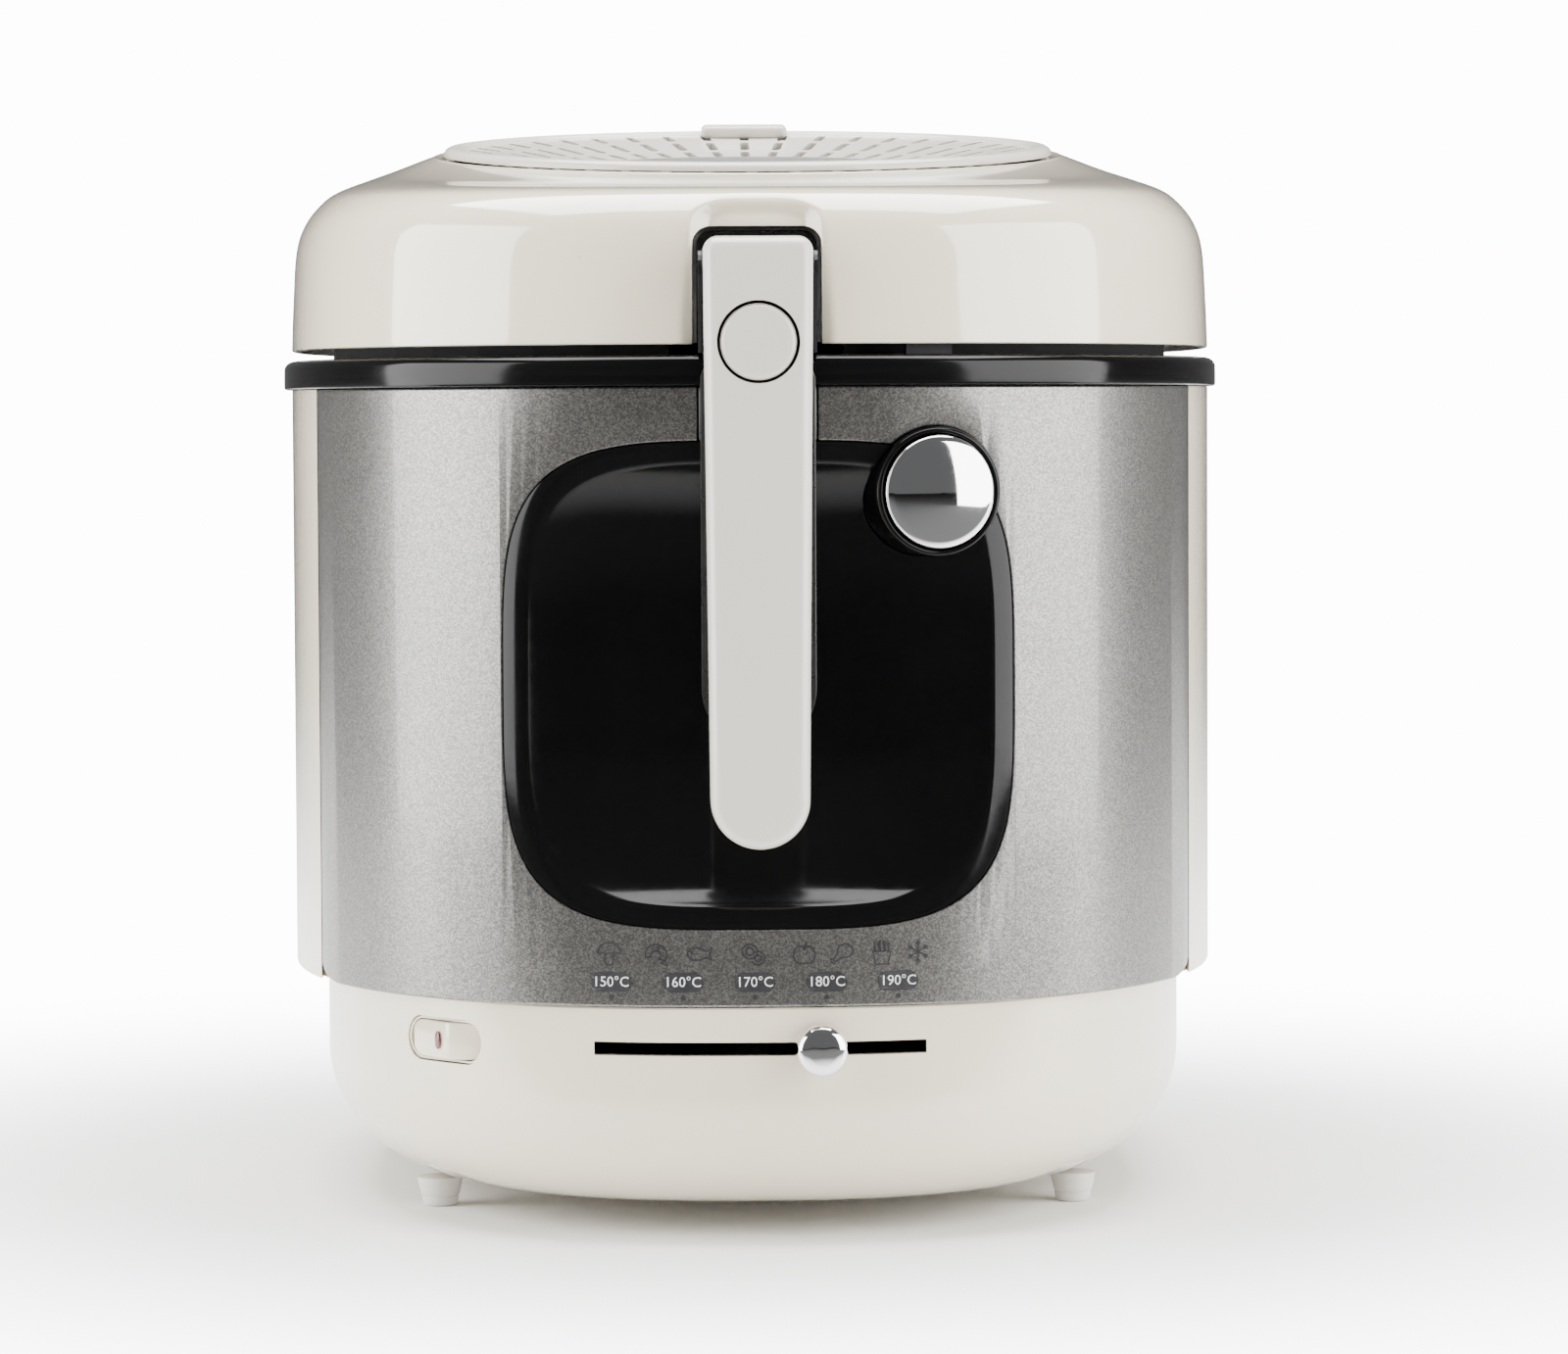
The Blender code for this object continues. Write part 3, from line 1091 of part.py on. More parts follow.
def slider_arm(mat):
    """The steel arm from the thermostat's shaft to the knob; its tip passes through the slot."""
    half, tip = 0.005, 0.0025
    reach = SLIDER_ARC + SLIDER_PROUD - GAP
    outline = [(-half, 0.006), (half, 0.006), (half, -SLIDER_ARC + 0.020), (tip, -SLIDER_ARC + 0.014), (tip, -reach),
               (-tip, -reach), (-tip, -SLIDER_ARC + 0.014), (-half, -SLIDER_ARC + 0.020)]
    obj = prism("slider_arm", [Vector((x, y, -0.0009)) for x, y in outline], Vector((0, 0, 0.0018)), mat)
    bore = rod("arm_bore_shape", (0, 0, -0.01), (0, 0, 0.01), SHAFT_RADIUS + GAP, mat)
    boolean(obj, bore)
    for piece in (obj, bore):
        apply_turn(piece, slider_turn())
    return obj


def thermostat(mat, shaft_mat):
    """The thermostat can on the floor of the base, and its upright shaft."""
    floor = BASE_BOTTOM + BASE_WALL + GAP
    top = SLOT_Z - 0.012
    r = THERMOSTAT_RADIUS
    can = turned("thermostat_body", [(0, floor), (r, floor), (r, top - 0.001), (r - 0.001, top), (0, top)], mat)
    can.location = (0, SLIDER_CENTRE_Y, 0)
    return rod("thermostat_shaft", (0, SLIDER_CENTRE_Y, top + GAP), (0, SLIDER_CENTRE_Y, SLOT_Z + 0.003),
               SHAFT_RADIUS, shaft_mat)


def switch_frame():
    return front_matrix(SWITCH_X, SWITCH_Z, BASE_HALF_WIDTH, BASE_HALF_DEPTH)


def switch_solid(name, grow, low, high, mat):
    """A prism with the switch's oval outline, along the wall's normal."""
    outline = stadium(SWITCH_LENGTH / 2 + grow, SWITCH_HEIGHT / 2 + grow)
    obj = prism(name, [Vector((u, v, low)) for u, v in outline], Vector((0, 0, high - low)), mat)
    apply_turn(obj, switch_frame())
    return obj


def switch_bezel(mat):
    """The oval frame in the base's wall."""
    obj = switch_solid("switch_bezel", 0, -0.013, -0.0016, mat)
    boolean(obj, switch_solid("bezel_bore_shape", -BEZEL_WALL, -0.02, 0.01, mat))
    return obj


def switch_body(mat):
    """The switch's closed housing behind the frame."""
    obj = block("switch_body", (-0.013, -0.0055, -0.030), (0.013, 0.0055, -0.0133), mat, 0.0008, 1)
    apply_turn(obj, switch_frame())
    return obj


def switch_rocker(mat):
    """The rocker, with its ridge right of the middle."""
    outline = [(-0.0142, -0.0075), (-0.0042, -0.0098), (0.0042, -0.0098), (0.0142, -0.0095), (0.0142, -0.0042),
               (0.0040, 0.0010), (0.0026, 0.0011), (-0.0142, -0.0012)]
    half = SWITCH_HEIGHT / 2 - 0.0009
    obj = prism("switch_rocker", [Vector((u, -half, w)) for u, w in outline], Vector((0, 2 * half, 0)), mat)
    trim = prism("rocker_trim_shape", [Vector((u, v, -0.02)) for u, v in stadium(0.0150, half)],
                 Vector((0, 0, 0.04)), mat)
    boolean(obj, trim, "INTERSECT")
    for piece in (obj, trim):
        apply_turn(piece, switch_frame())
    return obj


def switch_lens(mat):
    """The red window on the rocker, left of the ridge."""
    points = []
    for i in range(16):
        a = 2 * math.pi * i / 16
        points.append(Vector((0.0014 * math.cos(a), 0.0027 * math.sin(a), 0)))
    slope = math.atan2(0.0023, 0.0168)
    obj = prism("switch_lens", points, Vector((0, 0, 0.0006)), mat)
    apply_turn(obj, Matrix.Translation((-0.0006, 0, 0.0010)) @ Matrix.Rotation(-slope, 4, "Y"))
    apply_turn(obj, switch_frame())
    return obj


# ---------------------------------------------------------------- assembly
def build():
    clear_scene()
    white = material("white_gloss", WHITE, 0.25)
    light = material("light_grey_gloss", LIGHT_GREY, 0.28)
    silver = material("silver_paint", SILVER, 0.35, 0.6)
    black = material("black_gloss", BLACK, 0.15)
    rubber = material("rubber", BLACK, 0.8)
    steel = material("steel", STEEL, 0.3, 1.0)
    chrome = material("chrome", (0.85, 0.85, 0.86), 0.05, 1.0)
    coating = material("dark_coating", (0.03, 0.03, 0.035), 0.5)
    red = material("red_lens", (0.35, 0.03, 0.05), 0.2)
    felt = material("filter_felt", (0.12, 0.12, 0.12), 0.9)

    button_hole = button_hole_shape(black)
    base_tray(white)
    feet(rubber)
    base_screws(steel)
    cord_inlet(black)
    terminal_block(white)
    body_shell(white)
    front_panel(silver, button_hole)
    handle_recess(black, button_hole)
    handle_channel(black)
    rim_ring(black, hook_slot_shape(black))
    bowl(coating)
    heat_plate(steel)
    heating_element(coating)
    heat_shield(steel)
    thermal_fuse(steel)
    handle_bracket(black)
    bracket_screws(steel)
    handle_pin(steel)
    hinge_base(black)
    hinge_pin(steel)
    button_collar(black)
    lid_button_spring(steel)
    switch_bezel(white)
    switch_body(black)

    lid_axis = joint_empty("lid_axis", (0, HINGE_Y, HINGE_Z))
    lid_pieces = (lid_shell(white), notch_liner(black), lid_inner_panel(light), lid_gasket(rubber), latch_keeper(steel),
                  lid_hinge_arm(black))
    for piece in lid_pieces:
        hang(piece, lid_axis)
    cover_axis = joint_empty("filter_cover_axis", (0, 0, LID_CROWN), lid_axis)
    hang(filter_cover(white), cover_axis)
    hang(filter_cartridge(felt), lid_axis)

    fold_axis = joint_empty("handle_axis", (0, PIVOT_Y, PIVOT_Z))
    for piece in (handle_cover(light), handle_back(black), handle_button_spring(steel)):
        hang(piece, fold_axis)
    hang(handle_button(light), joint_empty("handle_button_axis", (0, -HANDLE_FRONT, GRIP_BUTTON_Z), fold_axis))

    basket_axis = joint_empty("basket_axis", (0, -GUIDE_Y, BASKET_TOP))
    for piece in (basket(steel), basket_bracket(steel)):
        hang(piece, basket_axis)

    button_axis = joint_empty("lid_button_axis", button_frame().translation)
    for piece in (lid_button(chrome), latch_hook(steel)):
        hang(piece, button_axis)

    slider_axis = joint_empty("slider_axis", (0, SLIDER_CENTRE_Y, SLOT_Z))
    for piece in (temperature_knob(chrome), slider_arm(steel), thermostat(steel, steel)):
        hang(piece, slider_axis)

    rocker_axis = joint_empty("rocker_axis", switch_frame() @ Vector((0, 0, ROCKER_PIVOT)))
    for piece in (switch_rocker(white), switch_lens(red)):
        hang(piece, rocker_axis)


build()
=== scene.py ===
"""The looks of a deep fryer: smooth skins, real edges and procedural finishes around a fixed frame."""
import json
import math

import bmesh
import bpy
from bpy.props import FloatProperty, FloatVectorProperty, IntProperty, PointerProperty
from mathutils import Matrix, Vector


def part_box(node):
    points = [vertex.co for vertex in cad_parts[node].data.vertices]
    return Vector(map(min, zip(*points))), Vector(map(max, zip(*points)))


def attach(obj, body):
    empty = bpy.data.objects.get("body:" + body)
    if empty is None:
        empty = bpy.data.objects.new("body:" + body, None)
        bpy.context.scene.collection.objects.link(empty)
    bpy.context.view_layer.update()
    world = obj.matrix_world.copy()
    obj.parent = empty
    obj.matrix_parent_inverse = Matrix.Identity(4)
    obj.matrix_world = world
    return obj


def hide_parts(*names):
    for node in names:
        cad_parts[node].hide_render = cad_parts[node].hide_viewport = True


bl_info = {
    "name": "Deep fryer looks",
    "version": (1, 0, 0),
    "blender": (4, 5, 0),
    "location": "View3D > Sidebar > Fryer",
    "description": "Skins, marks and finishes of a deep fryer, built around its frame",
    "category": "Object",
}

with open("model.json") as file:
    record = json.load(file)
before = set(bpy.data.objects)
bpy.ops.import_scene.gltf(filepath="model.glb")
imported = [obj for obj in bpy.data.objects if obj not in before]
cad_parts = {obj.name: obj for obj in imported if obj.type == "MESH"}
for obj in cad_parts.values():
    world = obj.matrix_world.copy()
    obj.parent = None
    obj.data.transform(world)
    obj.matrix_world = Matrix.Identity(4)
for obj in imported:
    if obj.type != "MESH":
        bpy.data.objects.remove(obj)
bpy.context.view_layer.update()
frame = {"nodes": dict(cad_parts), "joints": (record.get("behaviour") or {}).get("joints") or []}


def joint(name):
    return next(item for item in frame["joints"] if item["name"] == name)


CASING_LOW, CASING_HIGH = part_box("body_shell")
BASE_LOW, BASE_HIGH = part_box("base_tray")
RING_LOW, RING_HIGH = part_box("rim_ring")
LID_LOW, LID_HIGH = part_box("lid_shell")
RECESS_LOW, RECESS_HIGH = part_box("handle_recess")
GRIP_LOW, GRIP_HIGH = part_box("handle_cover")
BACK_LOW, BACK_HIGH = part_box("handle_back")
BOWL_LOW, BOWL_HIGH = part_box("bowl")
BASKET_LOW, BASKET_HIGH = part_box("basket")
PANEL_LOW, PANEL_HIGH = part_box("front_panel")
FOOT_LOW, FOOT_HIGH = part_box("foot_front_right")
COVER_AXIS = Vector(joint("filter_cover_lift")["axis"])

GAP = 0.0003             # clearance between neighbours
BODY_POWER = 2.5         # exponent of the plan outline
RECESS_POWER = 4.0
PLAN_STEPS = 320         # corners of a large outline
ROUND_STEPS = 96         # corners of a round control
TAU = 2 * math.pi
BACKDROP_GLOW = 14.0     # what the camera sees behind the object and on the far floor


# ---------------------------------------------------------------- settings
class FryerBody(bpy.types.PropertyGroup):
    half_width: FloatProperty(name="Half width", description="Half of the casing's width", unit="LENGTH",
                              default=CASING_HIGH[0])
    half_depth: FloatProperty(name="Half depth", description="Half of the casing's depth", unit="LENGTH",
                              default=CASING_HIGH[1])
    wall: FloatProperty(name="Wall", description="Thickness of the moulded walls", unit="LENGTH",
                        default=0.0025)
    base_radius: FloatProperty(name="Base rounding", description="Rounding under the base", unit="LENGTH",
                               default=0.035)
    panel_half_width: FloatProperty(name="Panel half width", description="Half of the front panel's width",
                                    unit="LENGTH", default=0.1333)
    panel_corner: FloatProperty(name="Panel corner", description="Radius of the panel's lower corners",
                                unit="LENGTH", default=0.006)
    recess_depth: FloatProperty(name="Recess depth", description="Depth of the dish behind the handle",
                                unit="LENGTH", default=0.017)


class FryerLid(bpy.types.PropertyGroup):
    crown: FloatProperty(name="Crown", description="Height of the sloping top at its middle", unit="LENGTH",
                         default=0.328)
    notch_half_width: FloatProperty(name="Notch half width", description="Half of the notch's width",
                                    unit="LENGTH", default=0.0189)
    notch_top: FloatProperty(name="Notch top", description="Height of the notch's upper edge", unit="LENGTH",
                             default=0.2987)
    scoop: FloatProperty(name="Scoop", description="Depth of the soft hollow around the notch", unit="LENGTH",
                         default=0.0046)
    cover_radius: FloatProperty(name="Cover radius", description="Radius of the slotted cover", unit="LENGTH",
                                default=0.0983)
    columns: IntProperty(name="Slot columns", description="Slots around the cover", default=42, min=8)
    slot_width: FloatProperty(name="Slot width", description="Width of one slot", unit="LENGTH",
                              default=0.0033)


class FryerControls(bpy.types.PropertyGroup):
    slot_z: FloatProperty(name="Slot height", description="Height of the temperature slot", unit="LENGTH",
                          default=joint("temperature_slide")["pos_m"][2])
    slot_half_length: FloatProperty(name="Slot half length", description="Half of the slot's length",
                                    unit="LENGTH", default=0.0487)
    slot_width: FloatProperty(name="Slot width", description="Height of the slot's opening", unit="LENGTH",
                              default=0.0039)
    mark_start: FloatProperty(name="First mark", description="Place of the first temperature mark",
                              unit="LENGTH", default=-0.0436)
    mark_step: FloatProperty(name="Mark step", description="Distance between the marks", unit="LENGTH",
                             default=0.02098)
    first_value: IntProperty(name="First value", description="First temperature of the scale", default=150)
    value_step: IntProperty(name="Value step", description="Difference between two marks", default=10)


class FryerColours(bpy.types.PropertyGroup):
    white: FloatVectorProperty(name="White", description="Casing, base and lid", subtype="COLOR",
                               default=(0.690, 0.620, 0.480))
    grip: FloatVectorProperty(name="Grip", description="Handle cover and its button", subtype="COLOR",
                              default=(0.530, 0.495, 0.445))
    silver: FloatVectorProperty(name="Silver", description="Front panel paint", subtype="COLOR",
                                default=(0.150, 0.145, 0.136))
    black: FloatVectorProperty(name="Black", description="Ring, recess and back of the handle",
                               subtype="COLOR",
                               default=(0.0030, 0.0029, 0.0030))
    print_dark: FloatVectorProperty(name="Print", description="Printed marks", subtype="COLOR",
                                    default=(0.018, 0.018, 0.020))
    lens: FloatVectorProperty(name="Lens", description="Window of the switch", subtype="COLOR",
                              default=(0.16, 0.028, 0.045))


class FryerStage(bpy.types.PropertyGroup):
    lens_length: FloatProperty(name="Lens", description="Focal length of the camera in millimetres",
                               default=122.0)
    distance: FloatProperty(name="Distance", description="Distance from the origin to the camera",
                            unit="LENGTH",
                            default=1.729)
    height: FloatProperty(name="Height", description="Height of the camera", unit="LENGTH", default=0.243)
    floor_colour: FloatVectorProperty(name="Floor", description="Colour of the floor", subtype="COLOR",
                                      default=(0.90, 0.90, 0.895))


# ---------------------------------------------------------------- modelling helpers
def start():
    """Leave edit mode and deselect everything."""
    if bpy.context.object and bpy.context.object.mode != "OBJECT":
        bpy.ops.object.mode_set(mode="OBJECT")
    bpy.ops.object.select_all(action="DESELECT")


def take(obj):
    """Make one object the only selected and the active one."""
    start()
    obj.select_set(True)
    bpy.context.view_layer.objects.active = obj
    return obj


def move_ring(obj, place):
    """Put the selected corners where a function of their turn says."""
    bm = bmesh.from_edit_mesh(obj.data)
    layer = bm.verts.layers.float["turn"]
    for vert in bm.verts:
        if vert.select:
            vert.co = place(vert[layer])
    bmesh.update_edit_mesh(obj.data)


def first_ring(name, steps, place):
    """Start a skin with a ring of corners that know their turn."""
    start()
    bpy.ops.mesh.primitive_circle_add(vertices=steps, radius=1.0)
    obj = bpy.context.object
    obj.name = name
    obj.data.name = name
    bpy.ops.object.mode_set(mode="EDIT")
    bm = bmesh.from_edit_mesh(obj.data)
    layer = bm.verts.layers.float.new("turn")
    for vert in bm.verts:
        turn = math.atan2(vert.co.y, vert.co.x) / TAU
        vert[layer] = round(turn * steps) % steps / steps
    move_ring(obj, place)
    return obj


def next_ring(obj, place):
    bpy.ops.mesh.extrude_region_move()
    move_ring(obj, place)


def skin(name, steps, places, ends="caps", angle=32):
    """A skin through rings; its ends are capped, bridged to each other or left open."""
    obj = first_ring(name, steps, places[0])
    for place in places[1:]:
        next_ring(obj, place)
    if ends != "open":
        bpy.ops.mesh.select_all(action="DESELECT")
        bpy.ops.mesh.select_non_manifold(extend=False, use_multi_face=False, use_non_contiguous=False)
        if ends == "bridged":
            bpy.ops.mesh.bridge_edge_loops()
        else:
            bpy.ops.mesh.select_all(action="SELECT")
            bpy.ops.mesh.fill_holes(sides=0)
    close_edit(obj, angle)
    return obj


def close_edit(obj, angle=32):
    """Turn all faces outwards and shade the piece."""
    bpy.ops.mesh.select_all(action="SELECT")
    bpy.ops.mesh.normals_make_consistent(inside=False)
    bpy.ops.object.mode_set(mode="OBJECT")
    take(obj)
    bpy.ops.object.shade_smooth_by_angle(angle=math.radians(angle))


def apply(obj, kind, **values):
    """Add a modifier with some values and apply it."""
    take(obj)
    mod = obj.modifiers.new(kind.lower(), kind)
    for key, value in values.items():
        setattr(mod, key, value)
    bpy.ops.object.modifier_apply(modifier=mod.name)
    return obj


def cut(obj, tool, operation="DIFFERENCE"):
    """Cut one piece with another, which is used up."""
    apply(obj, "BOOLEAN", operation=operation, object=tool, solver="EXACT")
    bpy.data.objects.remove(tool, do_unlink=True)
    return obj


def shade(obj, angle=32):
    take(obj)
    bpy.ops.object.shade_smooth_by_angle(angle=math.radians(angle))
    return obj


def turn_piece(obj, matrix):
    """Move a piece in its mesh, so that its object stays at the origin."""
    obj.data.transform(matrix)
    obj.data.update()
    return obj


def join(name, pieces):
    """Join pieces into one object."""
    start()
    for piece in pieces:
        piece.select_set(True)
    bpy.context.view_layer.objects.active = pieces[0]
    bpy.ops.object.join()
    obj = bpy.context.object
    obj.name = name
    obj.data.name = name
    return obj


def dress(obj, mat, body, nodes=()):
    """Give a piece its finish, its body and the nodes it stands for."""
    obj.data.materials.clear()
    obj.data.materials.append(mat)
    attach(obj, body)
    if nodes:
        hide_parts(*nodes)
    return obj


# ---------------------------------------------------------------- shapes
def outline(half_width, half_depth, power, turn):
    c = math.cos(TAU * turn)
    s = math.sin(TAU * turn)
    x = math.copysign(abs(c) ** (2 / power), c) * half_width
    y = math.copysign(abs(s) ** (2 / power), s) * half_depth
    return x, y


def level(half_width, half_depth, z, power=BODY_POWER, tilt=0.0):
    """Place a ring as a plan outline at one height."""
    def place(turn):
        x, y = outline(half_width, half_depth, power, turn)
        return Vector((x, y, z + tilt * y))
    return place


def circle(radius, z):
    def place(turn):
        return Vector((radius * math.cos(TAU * turn), radius * math.sin(TAU * turn), z))
    return place


def turned(name, profile, steps=ROUND_STEPS, angle=32):
    """A turned piece from (radius, height) pairs, open profiles capped."""
    places = [circle(max(radius, 0.00005), z) for radius, z in profile]
    return skin(name, steps, places, angle=angle)


def along(points):
    """Place a ring along a list of corners."""
    count = len(points)

    def place(turn):
        return Vector(points[round(turn * count) % count])
    return place


def arc(centre, radius, low, high, steps):
    angles = [math.radians(low + (high - low) * i / steps) for i in range(steps + 1)]
    return [(centre[0] + radius * math.cos(a), centre[1] + radius * math.sin(a)) for a in angles]


def surface_y(x, half_width, half_depth):
    return -half_depth * (1 - min(abs(x / half_width), 1.0) ** BODY_POWER) ** (1 / BODY_POWER)


def surface_angle(x, half_width, half_depth):
    y = surface_y(x, half_width, half_depth)
    nx = math.copysign(abs(x / half_width) ** (BODY_POWER - 1), x) / half_width
    ny = abs(y / half_depth) ** (BODY_POWER - 1) / half_depth
    return math.atan2(nx, ny)


def front_matrix(x, z, half_width, half_depth):
    """Frame on the front surface: local Z points outwards, local Y points up."""
    place = Vector((x, surface_y(x, half_width, half_depth), z))
    turn = surface_angle(x, half_width, half_depth)
    return Matrix.Translation(place) @ Matrix.Rotation(turn, 4, "Z") @ Matrix.Rotation(math.pi / 2, 4, "X")


def curve_through(stations, share):
    """Smooth value between stations, by Catmull and Rom."""
    last = len(stations) - 1
    spot = share * last
    i = min(int(spot), last - 1)
    t = spot - i
    before, a, b, after = (stations[max(i - 1, 0)], stations[i], stations[i + 1], stations[min(i + 2, last)])
    mixed = []
    for p0, p1, p2, p3 in zip(before, a, b, after):
        mixed.append(0.5 * (2 * p1 + (p2 - p0) * t + (2 * p0 - 5 * p1 + 4 * p2 - p3) * t ** 2
                            + (3 * p1 - p0 - 3 * p2 + p3) * t ** 3))
    return mixed


def stadium(half_length, half_height, steps=24):
    reach = half_length - half_height
    return (arc((reach, 0), half_height, -90, 90, steps)
            + arc((-reach, 0), half_height, 90, 270, steps))


def prism(name, points, direction):
    """Extrude a closed outline of 3-D corners."""
    ends = [Vector(p) + Vector(direction) for p in points]
    return skin(name, len(points), [along(points), along(ends)], angle=30)


def smoothstep(low, high, value):
    t = min(max((value - low) / (high - low), 0.0), 1.0)
    return t * t * (3 - 2 * t)


# ---------------------------------------------------------------- finishes
def new_group(name, inputs, outputs):
    """Start a shader node group; the length of a value says number, vector or colour."""
    kinds = {0: "NodeSocketFloat", 3: "NodeSocketVector", 4: "NodeSocketColor"}
    group = bpy.data.node_groups.new(name, "ShaderNodeTree")
    for label, value in inputs.items():
        kind = kinds[0 if isinstance(value, float) else len(value)]
        group.interface.new_socket(label, in_out="INPUT", socket_type=kind).default_value = value
    for label, size in outputs.items():
        group.interface.new_socket(label, in_out="OUTPUT", socket_type=kinds[size])
    nodes = group.nodes
    return group, nodes, group.links, nodes.new("NodeGroupInput"), nodes.new("NodeGroupOutput")


def add_node(nodes, kind, values=None, **settings):
    """Add a shader node with its settings and the values of its open sockets."""
    node = nodes.new("ShaderNode" + kind)
    for key, value in settings.items():
        setattr(node, key, value)
    for key, value in (values or {}).items():
        node.inputs[key].default_value = value
    return node


def plug(links, *pairs):
    """Join each output to its input, given as node, output, node, input."""
    for start_node, output, end_node, socket in pairs:
        links.new(start_node.outputs[output], end_node.inputs[socket])


def smudge_group():
    """Roughness that wanders between two values: finger marks, wiping and fine dust."""
    group = bpy.data.node_groups.get("smudge")
    if group:
        return group
    group, nodes, links, give, take_out = new_group(
        "smudge", {"Low": 0.15, "High": 0.3, "Scale": 30.0},
        {"Roughness": 0})
    coords = add_node(nodes, "TexCoord")
    broad = add_node(nodes, "TexNoise")
    fine = add_node(nodes, "TexNoise", {"Detail": 4.0})
    more = add_node(nodes, "Math", {1: 9.0}, operation="MULTIPLY")
    blend = add_node(nodes, "Mix", {"Factor": 0.35})
    wander = add_node(nodes, "MapRange", {"From Min": 0.35, "From Max": 0.65})
    plug(links, (coords, "Object", broad, "Vector"), (coords, "Object", fine, "Vector"),
         (give, "Scale", broad, "Scale"), (give, "Scale", more, 0), (more, 0, fine, "Scale"),
         (broad, "Fac", blend, "A"), (fine, "Fac", blend, "B"), (blend, "Result", wander, "Value"),
         (give, "Low", wander, "To Min"), (give, "High", wander, "To Max"),
         (wander, "Result", take_out, "Roughness"))
    return group


def tint_group():
    """Slow colour drift with sparse dark specks, as on used moulded plastic."""
    group = bpy.data.node_groups.get("tint")
    if group:
        return group
    group, nodes, links, give, take_out = new_group(
        "tint", {"Colour": (0.8, 0.8, 0.8, 1), "Shade": (0.7, 0.7, 0.7, 1), "Specks": 0.3},
        {"Colour": 4})
    coords = add_node(nodes, "TexCoord")
    drift = add_node(nodes, "TexNoise", {"Scale": 9.0, "Detail": 3.0})
    window = add_node(nodes, "MapRange", {"From Min": 0.4, "From Max": 0.75})
    colour = add_node(nodes, "Mix", data_type="RGBA")
    dots = add_node(nodes, "TexVoronoi", {"Scale": 55.0})
    spot = add_node(nodes, "MapRange", {"From Min": 0.045, "From Max": 0.015})
    rare = add_node(nodes, "TexNoise", {"Scale": 14.0})
    few = add_node(nodes, "MapRange", {"From Min": 0.60, "From Max": 0.66})
    both = add_node(nodes, "Math", operation="MULTIPLY")
    strength = add_node(nodes, "Math", operation="MULTIPLY")
    marked = add_node(nodes, "Mix", {"B": (0.10, 0.09, 0.08, 1)}, data_type="RGBA")
    for node in (drift, dots, rare):
        links.new(coords.outputs["Object"], node.inputs["Vector"])
    plug(links, (drift, "Fac", window, "Value"), (window, "Result", colour, "Factor"),
         (give, "Colour", colour, "A"), (give, "Shade", colour, "B"), (dots, "Distance", spot, "Value"),
         (rare, "Fac", few, "Value"), (spot, "Result", both, 0), (few, "Result", both, 1),
         (both, 0, strength, 0), (give, "Specks", strength, 1), (strength, 0, marked, "Factor"),
         (colour, "Result", marked, "A"), (marked, "Result", take_out, "Colour"))
    return group


def grain_group():
    """Fine relief of a moulded, cast or brushed surface."""
    group = bpy.data.node_groups.get("grain")
    if group:
        return group
    group, nodes, links, give, take_out = new_group(
        "grain", {"Stretch": (1, 1, 1), "Scale": 900.0, "Height": 0.02},
        {"Normal": 3, "Mask": 0})
    coords = add_node(nodes, "TexCoord")
    stretch = add_node(nodes, "VectorMath", operation="MULTIPLY")
    noise = add_node(nodes, "TexNoise", {"Detail": 3.0})
    bump = add_node(nodes, "Bump", {"Distance": 0.0002})
    plug(links, (coords, "Object", stretch, 0), (give, "Stretch", stretch, 1),
         (stretch, "Vector", noise, "Vector"), (give, "Scale", noise, "Scale"),
         (noise, "Fac", bump, "Height"), (give, "Height", bump, "Strength"),
         (bump, "Normal", take_out, "Normal"), (noise, "Fac", take_out, "Mask"))
    return group


def flake_group():
    """Metal flake paint: every cell has its own brightness and lean."""
    group = bpy.data.node_groups.get("flake")
    if group:
        return group
    group, nodes, links, give, take_out = new_group(
        "flake", {"Colour": (0.4, 0.4, 0.4, 1), "Bright": (0.7, 0.7, 0.7, 1), "Scale": 2600.0, "Lean": 0.35},
        {"Colour": 4, "Normal": 3, "Mask": 0})
    coords = add_node(nodes, "TexCoord")
    cells = add_node(nodes, "TexVoronoi")
    grey = add_node(nodes, "SeparateColor")
    window = add_node(nodes, "MapRange", {"From Min": 0.25, "From Max": 1.0})
    colour = add_node(nodes, "Mix", data_type="RGBA")
    bump = add_node(nodes, "Bump", {"Distance": 0.0003})
    plug(links, (coords, "Object", cells, "Vector"), (give, "Scale", cells, "Scale"),
         (cells, "Color", grey, "Color"), (grey, "Red", window, "Value"),
         (window, "Result", colour, "Factor"), (give, "Colour", colour, "A"),
         (give, "Bright", colour, "B"), (grey, "Green", bump, "Height"), (give, "Lean", bump, "Strength"),
         (colour, "Result", take_out, "Colour"), (bump, "Normal", take_out, "Normal"),
         (window, "Result", take_out, "Mask"))
    return group


def place_group(nodes, group, **values):
    node = nodes.new("ShaderNodeGroup")
    node.node_tree = group
    for key, value in values.items():
        node.inputs[key].default_value = value
    return node


